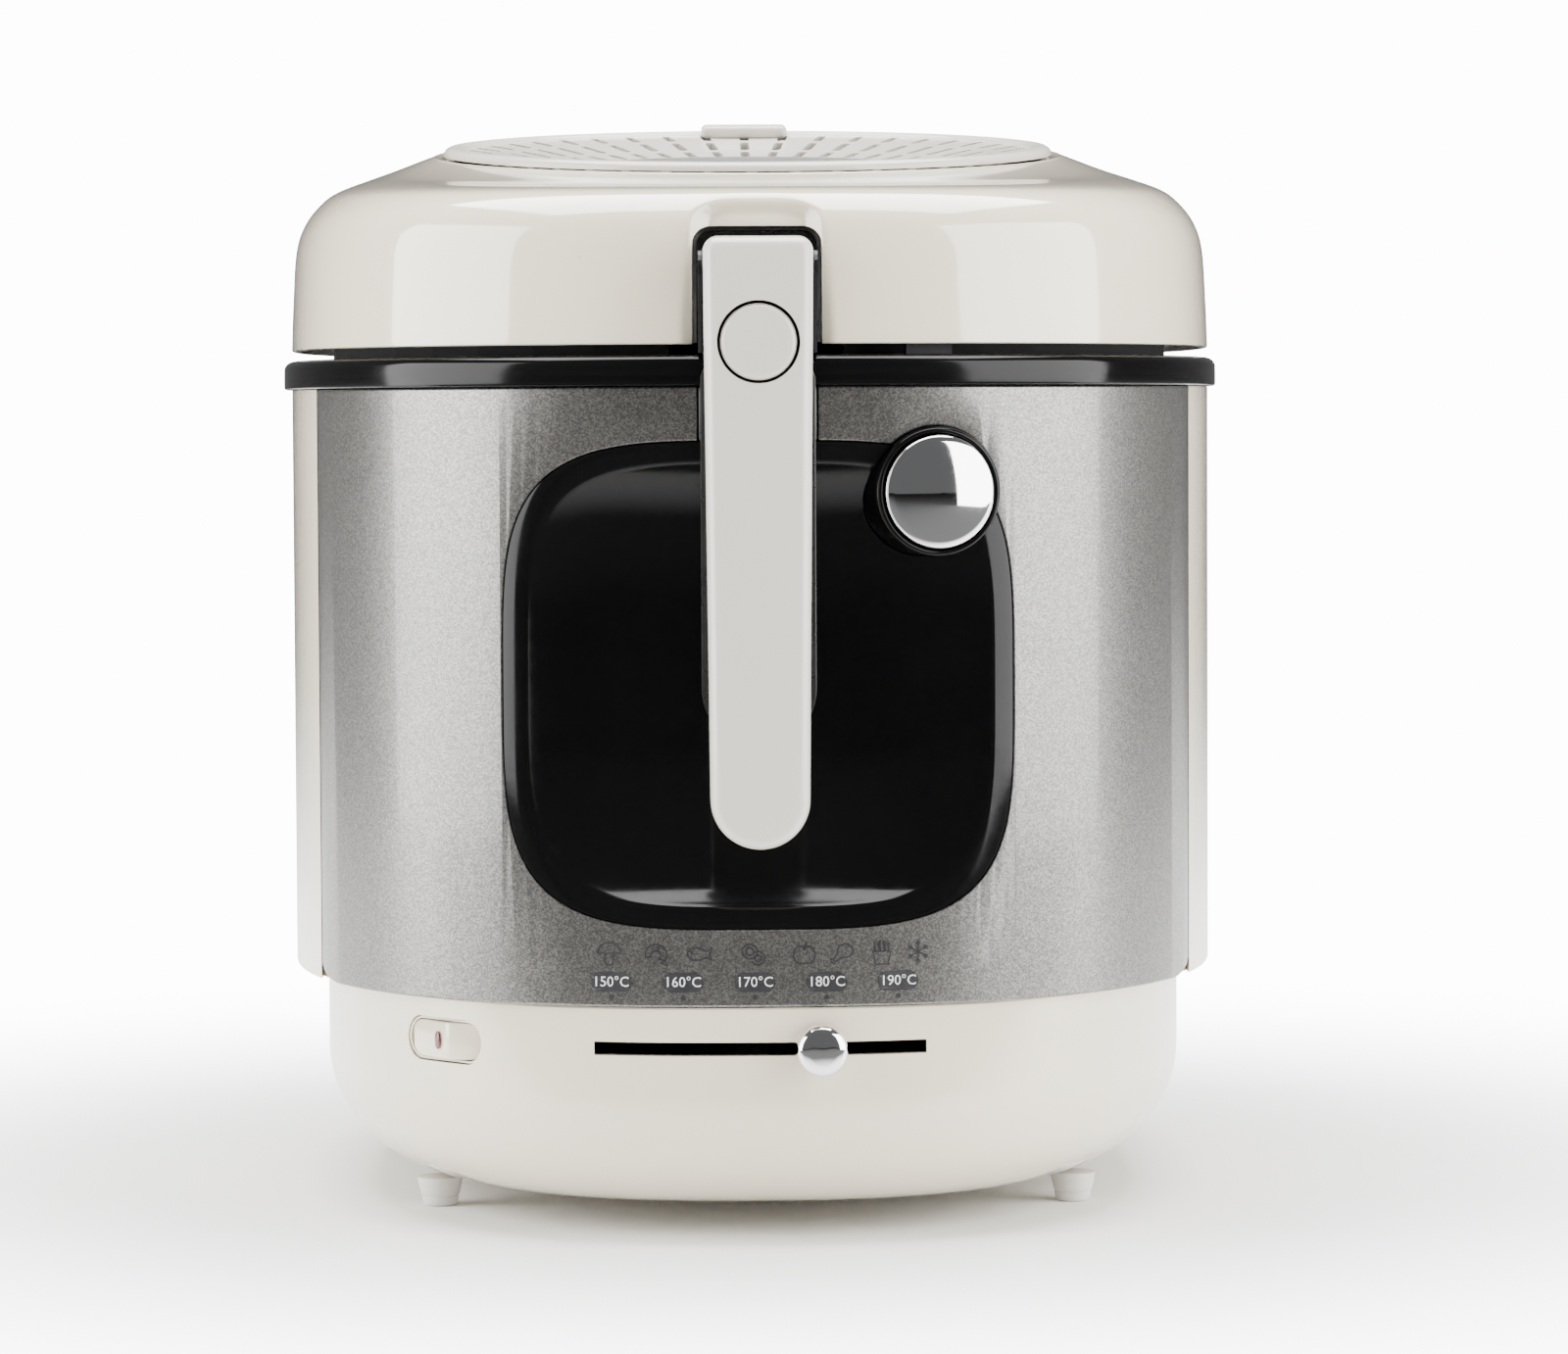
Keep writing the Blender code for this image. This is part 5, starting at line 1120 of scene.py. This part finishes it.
class HandleCover(bpy.types.Operator):
    """Light cover of the handle with soft edges, hollow from behind"""
    bl_idname = "fryer.handle_cover"
    bl_label = "Handle"

    def execute(self, context):
        front, back = GRIP_LOW[1], GRIP_HIGH[1]
        places = []
        soft, roll = 0.0040, 0.0052
        for i in range(13):
            a = math.pi / 2 * i / 12
            places.append(handle_ring(soft * (1 - math.sin(a)) ** 1.0,
                                      front + roll * (1 - math.cos(a)) ** 1.15))
        low = GRIP_LOW[2] + 0.032
        places += [handle_ring(0, back - 0.0004), handle_ring(0.0004, back), handle_ring(0.002, back, low),
                   handle_ring(0.002, front + 0.005, low), handle_ring(0.004, front + 0.002, low)]
        obj = skin("handle_cover_skin", len(handle_points(0)), places, angle=35)
        z = sum(box[2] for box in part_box("handle_button")) / 2
        ahead = Matrix.Translation((0, front, z)) @ Matrix.Rotation(math.pi / 2, 4, "X")
        cut(obj, round_tool("grip_tool", 0.0119, -0.006, 0.01, ahead, 96))
        pin = Vector(joint("handle_fold")["pos_m"])
        across = Matrix.Translation((0, pin.y, pin.z)) @ Matrix.Rotation(math.pi / 2, 4, "Y")
        cut(obj, round_tool("pin_tool", 0.0023, -0.03, 0.03, across, 32))
        shade(obj, 35)
        dress(obj, grip_finish(), "handle", ["handle_cover"])
        return {"FINISHED"}


class HandleBack(bpy.types.Operator):
    """Black back of the handle, a little wider than its cover"""
    bl_idname = "fryer.handle_back"
    bl_label = "Handle back"

    def execute(self, context):
        low, shoulder, top = BACK_LOW[2], 0.2545, BACK_HIGH[2]
        wide, narrow = BACK_HIGH[0], GRIP_HIGH[0] - GAP
        points = [(narrow, shoulder + 0.003), (narrow, top), (-narrow, top), (-narrow, shoulder + 0.003),
                  (-wide, shoulder)]
        points += arc((0, low + wide), wide, 180, 360, 48)
        points.append((wide, shoulder))
        front = BACK_LOW[1]
        obj = prism("handle_back_skin", [(x, front, z) for x, z in points], (0, BACK_HIGH[1] - front, 0))
        apply(obj, "BEVEL", width=0.0003, segments=2, limit_method="ANGLE", angle_limit=math.radians(60))
        shade(obj)
        dress(obj, satin_black_finish(), "handle", ["handle_back"])
        return {"FINISHED"}


class HandleButton(bpy.types.Operator):
    """Round button that unlocks the fold"""
    bl_idname = "fryer.handle_button"
    bl_label = "Handle button"

    def execute(self, context):
        low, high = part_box("handle_button")
        z = (low[2] + high[2]) / 2
        r = 0.01108
        profile = [(0, 0.0006), (r * 0.5, 0.00052), (r - 0.0026, 0.00035), (r - 0.0021, 0.0002),
                   (r - 0.0015, 0.0002),
                   (r - 0.0007, 0.0006), (r - 0.0002, 0.0013), (r, 0.0021), (r, 0.0042), (0.0028, 0.0042),
                   (0.0028, 0.0075), (0, 0.0075)]
        obj = turned("handle_button_skin", profile, 96, 40)
        turn_piece(obj, Matrix.Translation((0, low[1], z)) @ Matrix.Rotation(-math.pi / 2, 4, "X"))
        dress(obj, grip_finish(), "grip_button", ["handle_button"])
        return {"FINISHED"}


# ---------------------------------------------------------------- controls
class LidButton(bpy.types.Operator):
    """Bright domed button and the black cup around it"""
    bl_idname = "fryer.lid_button"
    bl_label = "Lid button"

    def execute(self, context):
        r, rim = 0.01675, 0.0036
        profile = [(0, -0.0185), (0.0028, -0.0185), (0.0028, -0.0034), (r, -0.0034), (r, rim - 0.0008),
                   (r - 0.0002, rim), (r - 0.0008, rim + 0.0006)]
        for i in range(1, 13):
            share = 1 - i / 12
            profile.append(((r - 0.0012) * share, rim + 0.0028 - 0.0020 * share ** 2))
        obj = turned("lid_button_skin", profile, 128, 35)
        turn_piece(obj, button_matrix())
        dress(obj, chrome_finish(), "release_button", ["lid_button"])
        out, proud, depth = 0.019, 0.0028, 0.012
        bore = r + 0.0004
        profile = [(0.006, -depth), (out, -depth), (out, proud - 0.0014), (out - 0.0002, proud - 0.0006),
                   (out - 0.0007, proud - 0.0001), (out - 0.0011, proud), (bore + 0.0006, proud),
                   (bore + 0.0001, proud - 0.0003), (bore, proud - 0.0008), (bore, -depth + 0.0018),
                   (0.006, -depth + 0.0018)]
        places = [circle(radius, z) for radius, z in profile]
        cup = skin("collar_skin", 128, places, "bridged", 40)
        turn_piece(cup, button_matrix())
        dress(cup, black_finish(), "housing", ["button_collar"])
        return {"FINISHED"}


def slider_matrix():
    pivot = Vector(joint("temperature_slide")["pos_m"])
    low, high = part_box("temperature_knob")
    knob_x = (low[0] + high[0]) / 2 * 0.985
    reach = BASE_HIGH[1] + pivot.y + 0.0009
    turn = math.asin(min(knob_x / reach, 1.0))
    return Matrix.Translation(pivot) @ Matrix.Rotation(turn, 4, "Z") @ Matrix.Translation((0, -reach, 0))


class TemperatureKnob(bpy.types.Operator):
    """Bright round knob of the temperature slider"""
    bl_idname = "fryer.temperature_knob"
    bl_label = "Temperature knob"

    def execute(self, context):
        low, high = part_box("temperature_knob")
        r = (high[2] - low[2]) / 2
        length = 0.009
        profile = [(0, 0), (r - 0.0005, 0), (r, 0.0005), (r, length - 0.0028), (r - 0.00015, length - 0.0020),
                   (r - 0.0007, length - 0.0012), (r - 0.0018, length - 0.0006), (r * 0.5, length - 0.0001),
                   (0, length)]
        obj = turned("knob_skin", profile, 96, 35)
        turn_piece(obj, slider_matrix() @ Matrix.Rotation(math.pi / 2, 4, "X"))
        dress(obj, chrome_finish(), "heat_slider", ["temperature_knob"])
        return {"FINISHED"}


class PowerSwitch(bpy.types.Operator):
    """Oval switch: frame, rocker with its ridge, and the red window"""
    bl_idname = "fryer.power_switch"
    bl_label = "Switch"

    def execute(self, context):
        matrix = switch_matrix()
        half, height = 0.0165, 0.00635
        bezel = prism("bezel_skin", [(u, v, -0.013) for u, v in stadium(half, height, 32)], (0, 0, 0.0114))
        bore = [(u, v, -0.02) for u, v in stadium(half - 0.0006, height - 0.0006, 32)]
        cut(bezel, prism("bore_tool", bore, (0, 0, 0.03)))
        shade(bezel)
        turn_piece(bezel, matrix)
        dress(bezel, white_finish(), "housing", ["switch_bezel"])
        side = [(-0.0142, -0.0075), (-0.0042, -0.0098), (0.0042, -0.0098), (0.0142, -0.0095),
                (0.0142, -0.0042)]
        side += [(0.0100, -0.0020), (0.0060, 0.0001), (0.0044, 0.0009), (0.0037, 0.0011), (0.0030, 0.0011),
                 (0.0022, 0.0010), (-0.0040, 0.0002), (-0.0142, -0.0012)]
        reach = height - 0.0009
        rocker = prism("rocker_skin", [(u, -reach, w) for u, w in side], (0, 2 * reach, 0))
        trim = prism("trim_tool", [(u, v, -0.02) for u, v in stadium(0.0150, reach, 32)], (0, 0, 0.04))
        cut(rocker, trim, "INTERSECT")
        apply(rocker, "BEVEL", width=0.0003, segments=2, limit_method="ANGLE", angle_limit=math.radians(40))
        shade(rocker, 35)
        turn_piece(rocker, matrix)
        dress(rocker, white_finish(), "power_rocker", ["switch_rocker"])
        dome = [(0.0, 0.0), (1.0, 0.0), (1.0, 0.0002), (0.9, 0.0004), (0.6, 0.00055), (0.0, 0.0006)]
        places = []
        for share, z in dome:
            w = max(share, 0.02)
            places.append(along([(0.0014 * w * math.cos(TAU * i / 48), 0.0027 * w * math.sin(TAU * i / 48), z)
                                 for i in range(48)]))
        window = skin("window_skin", 48, places, angle=60)
        slope = math.atan2(0.0023, 0.0168)
        turn_piece(window, matrix @ Matrix.Translation((-0.0006, 0, 0.0011)) @ Matrix.Rotation(-slope, 4,
                                                                                               "Y"))
        dress(window, lens_finish(), "power_rocker", ["switch_lens"])
        return {"FINISHED"}


# ---------------------------------------------------------------- printed marks
MARK_HEIGHT = 0.00025


def stroke(name, points, width, closed=False):
    """A flat raised line along 2-D corners."""
    count = len(points)
    places = []
    for i, (x, y) in enumerate(points):
        before = points[i - 1] if closed or i else points[i]
        after = points[(i + 1) % count] if closed or i < count - 1 else points[i]
        direction = Vector((after[0] - before[0], after[1] - before[1])).normalized()
        nx, ny = -direction.y * width / 2, direction.x * width / 2
        places.append(along([(x + nx, y + ny, 0), (x - nx, y - ny, 0), (x - nx, y - ny, MARK_HEIGHT),
                             (x + nx, y + ny, MARK_HEIGHT)]))
    if closed:
        return skin(name, 4, places, "bridged", 30)
    return skin(name, 4, places, "caps", 30)


def bent(centre, wide, high, low, top, steps=16):
    """Corners along part of an ellipse."""
    points = []
    for i in range(steps + 1):
        a = math.radians(low + (top - low) * i / steps)
        points.append((centre[0] + wide * math.cos(a), centre[1] + high * math.sin(a)))
    return points


def icon_lines(kind):
    """Line drawings of fried food in a square of side 2, as (corners, closed) pairs."""
    if kind == "mushroom":
        return [(bent((0, 0.05), 0.95, 0.85, 0, 180) + [(-0.95, 0.05)], True),
                ([(-0.3, 0.0), (-0.36, -0.6), (-0.2, -0.9), (0.2, -0.9), (0.36, -0.6), (0.3, 0.0)], False)]
    if kind == "prawn":
        return [(bent((0, 0), 0.85, 0.8, -60, 200), False), (bent((0, -0.1), 0.4, 0.35, -60, 190), False),
                ([(0.42, -0.7), (0.9, -0.95), (0.75, -0.5), (0.2, -0.4)], False),
                ([(-0.8, -0.28), (-0.39, -0.16)], False), ([(0.3, 0.75), (0.12, 0.24)], False)]
    if kind == "fish":
        return [(bent((-0.2, 0), 0.78, 0.5, 25, 335, 24) + [(0.95, -0.5), (0.8, 0.0), (0.95, 0.5)], True),
                (bent((-0.62, 0.1), 0.07, 0.07, 0, 315, 7), True)]
    if kind == "rings":
        return [(bent((-0.3, 0.2), 0.6, 0.6, 0, 345, 23), True), (bent((-0.3, 0.2), 0.3, 0.3, 0, 345, 23),
                                                                  True),
                (bent((0.35, -0.35), 0.55, 0.55, -150, 120, 20), False),
                (bent((0.35, -0.35), 0.26, 0.26, 0, 345, 20), True)]
    if kind == "apple":
        return [(bent((-0.3, -0.1), 0.55, 0.7, 40, 285, 18) + bent((0.3, -0.1), 0.55, 0.7, -105, 140, 18),
                 True),
                ([(0.0, 0.4), (0.05, 0.7), (0.2, 0.95)], False)]
    if kind == "chicken":
        return [(bent((0.2, 0.2), 0.62, 0.55, -110, 200, 22), False),
                ([(-0.38, 0.01), (-0.75, -0.5), (-0.95, -0.52), (-0.9, -0.75), (-0.68, -0.88), (-0.55, -0.72),
                  (-0.01, -0.32)], False)]
    if kind == "chips":
        return [([(-0.7, 0.1), (-0.5, -0.95), (0.5, -0.95), (0.7, 0.1)], True),
                ([(-0.5, 0.1), (-0.6, 0.85), (-0.3, 0.88), (-0.22, 0.1)], False),
                ([(-0.14, 0.1), (-0.14, 1.0), (0.14, 1.0), (0.14, 0.1)], False),
                ([(0.22, 0.1), (0.32, 0.8), (0.6, 0.76), (0.5, 0.1)], False)]
    lines = []
    for i in range(3):
        a = math.pi * i / 3 + math.pi / 2
        c, s = math.cos(a), math.sin(a)
        lines.append(([(-c * 0.95, -s * 0.95), (c * 0.95, s * 0.95)], False))
        for sign in (-1, 1):
            tip = (sign * c * 0.55, sign * s * 0.55)
            for lean in (-0.6, 0.6):
                b = a + lean
                lines.append(([tip,
                               (tip[0] + sign * 0.32 * math.cos(b),
                                tip[1] + sign * 0.32 * math.sin(b))], False))
    return lines


def numeral(value, size):
    """A number as a thin raised mesh, centred on the origin."""
    start()
    bpy.ops.object.text_add()
    obj = bpy.context.object
    obj.data.body = str(value)
    obj.data.size = size
    obj.data.align_x = "CENTER"
    obj.data.align_y = "CENTER"
    obj.data.extrude = MARK_HEIGHT / 2
    obj.data.resolution_u = 3
    bpy.ops.object.convert(target="MESH")
    return bpy.context.object


class Marks(bpy.types.Operator):
    """Printed temperature marks and small food drawings above the slot"""
    bl_idname = "fryer.marks"
    bl_label = "Marks"

    def execute(self, context):
        c = controls()
        h, d = body().half_width, body().half_depth
        dark, light = [], []
        lift = Matrix.Translation((0, 0, -0.00008))
        for i in range(5):
            x = c.mark_start + c.mark_step * i
            pill = prism("pill", [(u, v, 0) for u, v in stadium(0.00605, 0.0029, 12)], (0, 0, MARK_HEIGHT))
            dark.append(turn_piece(pill, front_matrix(x, 0.0783, h, d) @ lift))
            dot = prism("dot", [(u, v, 0) for u, v in stadium(0.00076, 0.00075, 8)], (0, 0, MARK_HEIGHT))
            dark.append(turn_piece(dot, front_matrix(x, 0.0738, h, d) @ lift))
            text = numeral(f"{c.first_value + c.value_step * i}\u00b0C", 0.0042)
            light.append(turn_piece(text, front_matrix(x, 0.0783, h, d)
                                    @ Matrix.Translation((0, 0, MARK_HEIGHT * 0.75))))
        kinds = ("mushroom", "prawn", "fish", "rings", "apple", "chicken", "chips", "frost")
        spots = (-0.0442, -0.0305, -0.0177, -0.0020, 0.0128, 0.0240, 0.0356, 0.0462)
        for kind, x in zip(kinds, spots):
            matrix = front_matrix(x, 0.0866, h, d) @ lift
            for points, closed in icon_lines(kind):
                scaled = [(u * 0.0037, v * 0.0036) for u, v in points]
                dark.append(turn_piece(stroke("line", scaled, 0.00042, closed), matrix))
        marks = join("printed_marks", dark)
        dress(marks, print_finish(), "housing", [])
        numbers = join("printed_numbers", light)
        dress(numbers, light_print_finish(), "housing", [])
        return {"FINISHED"}


# ---------------------------------------------------------------- inside
class Bowl(bpy.types.Operator):
    """Coated bowl, hung by its flange"""
    bl_idname = "fryer.bowl"
    bl_label = "Bowl"

    def execute(self, context):
        flange = 0.0075
        wide, deep = BOWL_HIGH[0] - flange, BOWL_HIGH[1] - flange
        low, top = BOWL_LOW[2], BOWL_HIGH[2]
        seat = top - 0.0015

        def ring(inset, z):
            return level(wide - inset, deep - inset, z)

        def corner(extra, base, radius):
            rings = []
            for i in range(9):
                a = math.pi / 2 * i / 8
                rings.append(ring(extra + radius * (1 - math.sin(a)), base + radius * (1 - math.cos(a))))
            return rings

        outer = corner(0.0, low, 0.013) + [ring(0, seat), ring(-flange + 0.0005, seat),
                                           ring(-flange, seat + 0.0007)]
        inner = [ring(-flange + 0.0005, top), ring(0.001, top), ring(0.0017, top - 0.0004),
                 ring(0.002, top - 0.0012)]
        inner += list(reversed(corner(0.002, low + 0.002, 0.0125)))
        obj = skin("bowl_skin", 200, outer + inner)
        dress(obj, coating_finish(), "housing", ["bowl"])
        return {"FINISHED"}


def wire(name, points, radius, closed=False, corners=6):
    """A round wire along 3-D corners."""
    count = len(points)
    spots = [Vector(p) for p in points]
    places = []
    side = Vector((0, 0, 1))
    for i, spot in enumerate(spots):
        before = spots[i - 1] if closed or i else spot
        after = spots[(i + 1) % count] if closed or i < count - 1 else spot
        direction = (after - before).normalized()
        if i == 0:
            side = direction.orthogonal().normalized() if abs(direction.z) > 0.9 else side
        side = (side - direction * side.dot(direction)).normalized()
        other = direction.cross(side)
        ring = []
        for k in range(corners):
            a = TAU * k / corners
            ring.append(spot + radius * (math.cos(a) * side + math.sin(a) * other))
        places.append(along(ring))
    return skin(name, corners, places, "bridged" if closed else "caps", 60)


class WireBasket(bpy.types.Operator):
    """Wire basket: a stout rim, hoops, and wires that run down the walls and across the floor"""
    bl_idname = "fryer.wire_basket"
    bl_label = "Basket"

    def execute(self, context):
        wide, deep = BASKET_HIGH[0] - 0.0012, BASKET_HIGH[1] - 0.0012
        low, top = BASKET_LOW[2] + 0.0012, BASKET_HIGH[2] - 0.0020
        taper = 0.006

        def rim_spot(turn, z):
            inset = taper * (top - z) / (top - low)
            x, y = outline(wide - inset, deep - inset, BODY_POWER, turn)
            return Vector((x, y, z))

        wires = [wire("rim_wire", [rim_spot(i / 120, top) for i in range(120)], 0.0019, True, 10)]
        for k in range(1, 8):
            z = top - (top - low - 0.006) * k / 7.4
            wires.append(wire("hoop", [rim_spot(i / 96, z) for i in range(96)], 0.0009, True))
        for axis in (0, 1):
            reach = (wide, deep)[axis]
            other = (deep, wide)[axis]
            count = (19, 25)[axis]
            for k in range(count):
                across = reach * 0.93 * (2 * k / (count - 1) - 1)
                limit = other * (1 - abs(across / reach) ** BODY_POWER) ** (1 / BODY_POWER)
                points = []
                for z in (top, top - 0.03, top - 0.06, low + 0.012):
                    inset = taper * (top - z) / (top - low)
                    points.append((-(limit - inset), z))
                for a in (30, 60, 90):
                    t = math.radians(a)
                    points.append((-(limit - taper - 0.007) - 0.007 * math.cos(t),
                                   low + 0.007 - 0.007 * math.sin(t)))
                points += [(-(limit - 0.02) / 3, low), ((limit - 0.02) / 3, low)]
                points += [(-u, z) for u, z in reversed(points[:7])]
                spots = [(across, u, z) if axis == 0 else (u, across, z + 0.0012) for u, z in points]
                wires.append(wire("upright", spots, 0.0008))
        obj = join("basket_wires", wires)
        dress(obj, wire_finish(), "frying_basket", ["basket"])
        return {"FINISHED"}


NODE_FINISHES = {
    "white_plastic": white_finish, "light_plastic": grip_finish, "pale_plastic": pale_finish,
    "silver_paint": silver_finish, "black_plastic": satin_black_finish, "black_paint": satin_black_finish,
    "seal_rubber": rubber_finish, "foot_rubber": foot_finish, "bowl_coating": coating_finish,
    "bare_aluminium": aluminium_finish, "element_steel": element_finish, "plain_steel": steel_finish,
    "basket_wire": wire_finish, "bright_chrome": chrome_finish, "red_lens": lens_finish,
    "filter_felt": felt_finish,
}


class InnerParts(bpy.types.Operator):
    """Finishes of the pieces whose shape comes straight from the frame"""
    bl_idname = "fryer.inner_parts"
    bl_label = "Inner parts"

    def execute(self, context):
        for node in frame["nodes"].values():
            for slot in node.material_slots:
                name = slot.material.name.split(".")[0]
                slot.material = NODE_FINISHES[name]()
        for name in ("latch_hook", "latch_keeper", "handle_pin", "handle_bracket"):
            frame["nodes"][name].material_slots[0].material = dark_steel_finish()
        return {"FINISHED"}


# ---------------------------------------------------------------- stage
def soft_box(name, place, target, size, power, tone=(1, 1, 1)):
    start()
    bpy.ops.object.light_add(type="AREA", location=place)
    lamp = bpy.context.object
    lamp.name = name
    lamp.data.shape = "RECTANGLE"
    lamp.data.size, lamp.data.size_y = size
    lamp.data.energy = power
    lamp.data.color = tone
    lamp.rotation_euler = (Vector(target) - Vector(place)).to_track_quat("-Z", "Y").to_euler()
    return lamp


def studio_sky(world):
    """White backdrop, and a room that is dim on the side that the object faces."""
    nodes, links = world.node_tree.nodes, world.node_tree.links
    sky = nodes["Background"]
    coords = add_node(nodes, "TexCoord")
    split = add_node(nodes, "SeparateXYZ")
    window = add_node(nodes, "MapRange", {"From Min": -0.85, "From Max": -0.20, "To Min": 0.14,
                                          "To Max": 0.16})
    window.interpolation_type = "SMOOTHSTEP"
    path = add_node(nodes, "LightPath")
    choice = add_node(nodes, "Mix", {"B": BACKDROP_GLOW})
    sky.inputs["Color"].default_value = (0.99, 0.995, 1.0, 1)
    plug(links, (coords, "Generated", split, "Vector"), (split, "Y", window, "Value"),
         (path, "Is Camera Ray", choice, "Factor"), (window, "Result", choice, "A"),
         (choice, "Result", sky, "Strength"))


def floor_finish():
    """Pale matt floor that runs into the backdrop, and stays dim in mirror-like reflections at the front."""
    mat = finish("pale_floor", bpy.context.scene.fryer_stage.floor_colour, 0.99, 0.0, (0.5, 0.6), 3.0,
                 (60.0, 0.02))
    nodes, links = mat.node_tree.nodes, mat.node_tree.links
    coords = add_node(nodes, "TexCoord")
    path = add_node(nodes, "LightPath")
    split = add_node(nodes, "SeparateXYZ")
    links.new(coords.outputs["Object"], split.inputs["Vector"])
    distance = add_node(nodes, "VectorMath", operation="LENGTH")
    links.new(coords.outputs["Object"], distance.inputs[0])
    dim = add_node(nodes, "BsdfDiffuse", {"Color": (0.06, 0.06, 0.06, 1)})
    glow = add_node(nodes, "Emission", {"Strength": BACKDROP_GLOW})
    shader = nodes["Principled BSDF"].outputs[0]
    ranges = ((split.outputs["Y"], -0.22, -0.42, "Is Glossy Ray", dim),
              (distance.outputs["Value"], 0.20, 0.62, "Is Camera Ray", glow))
    for value, low, high, ray, other in ranges:
        window = add_node(nodes, "MapRange", {"From Min": low, "From Max": high},
                          interpolation_type="SMOOTHSTEP")
        both = add_node(nodes, "Math", operation="MULTIPLY")
        blend = add_node(nodes, "MixShader")
        links.new(value, window.inputs["Value"])
        links.new(window.outputs["Result"], both.inputs[0])
        links.new(path.outputs[ray], both.inputs[1])
        links.new(both.outputs[0], blend.inputs[0])
        links.new(shader, blend.inputs[1])
        links.new(other.outputs[0], blend.inputs[2])
        shader = blend.outputs[0]
    links.new(shader, nodes["Material Output"].inputs["Surface"])
    return mat


class Stage(bpy.types.Operator):
    """Pale floor, soft light and the camera"""
    bl_idname = "fryer.stage"
    bl_label = "Stage"

    def execute(self, context):
        s = context.scene.fryer_stage
        start()
        bpy.ops.mesh.primitive_plane_add(size=14)
        floor = context.object
        floor.name = "floor"
        floor.data.materials.append(floor_finish())
        world = context.scene.world or bpy.data.worlds.new("studio")
        context.scene.world = world
        world.use_nodes = True
        studio_sky(world)
        soft_box("left_box", (-1.46, -0.42, 0.55), (0, 0, 0.22), (1.30, 1.3), 60)
        soft_box("right_box", (1.354, -0.646, 0.55), (0, 0, 0.22), (1.45, 1.3), 62)
        soft_box("top_box", (0.0, 0.15, 1.9), (0, 0, 0.2), (2.0, 1.6), 170)
        bpy.ops.object.camera_add(location=(-0.024, -s.distance, s.height))
        camera = context.object
        camera.name = "camera"
        camera.data.lens = s.lens_length
        camera.data.sensor_width = 36.0
        camera.data.clip_start = 0.01
        tilt = math.radians(-2.8)
        yaw = math.radians(-1.16)
        roll = math.radians(-0.27)
        look = Matrix.Rotation(yaw, 4, "Z") @ Matrix.Rotation(math.pi / 2 + tilt, 4,
                                                              "X") @ Matrix.Rotation(roll, 4, "Z")
        camera.rotation_euler = look.to_euler()
        context.scene.camera = camera
        return {"FINISHED"}


class FryerPanel(bpy.types.Panel):
    """Sizes, colours and the pieces of the fryer"""
    bl_idname = "VIEW3D_PT_fryer"
    bl_label = "Fryer"
    bl_space_type = "VIEW_3D"
    bl_region_type = "UI"
    bl_category = "Fryer"

    def draw(self, context):
        scene = context.scene
        for group in (scene.fryer_body, scene.fryer_lid, scene.fryer_controls, scene.fryer_colours,
                      scene.fryer_stage):
            box = self.layout.box()
            for name in group.bl_rna.properties.keys():
                if name not in ("rna_type", "name"):
                    box.prop(group, name)
        for piece in PIECES:
            self.layout.operator(piece.bl_idname)


SETTINGS = (("fryer_body", FryerBody), ("fryer_lid", FryerLid), ("fryer_controls", FryerControls),
            ("fryer_colours", FryerColours), ("fryer_stage", FryerStage))
PIECES = (InnerParts, BaseSkin, Feet, Casing, FrontPanel, RecessPlate, RimRing, LidShell, Niche, LidLining,
          FilterCover, HandleCover, HandleBack, HandleButton, LidButton, TemperatureKnob, PowerSwitch, Marks,
          Bowl, WireBasket, Stage)


def register():
    for name, group in SETTINGS:
        bpy.utils.register_class(group)
        setattr(bpy.types.Scene, name, PointerProperty(type=group))
    for piece in PIECES:
        bpy.utils.register_class(piece)
    bpy.utils.register_class(FryerPanel)


def unregister():
    bpy.utils.unregister_class(FryerPanel)
    for piece in reversed(PIECES):
        bpy.utils.unregister_class(piece)
    for name, group in reversed(SETTINGS):
        delattr(bpy.types.Scene, name)
        bpy.utils.unregister_class(group)


def main():
    register()
    for piece in PIECES:
        category, name = piece.bl_idname.split(".")
        getattr(getattr(bpy.ops, category), name)()


if __name__ == "__main__":
    main()
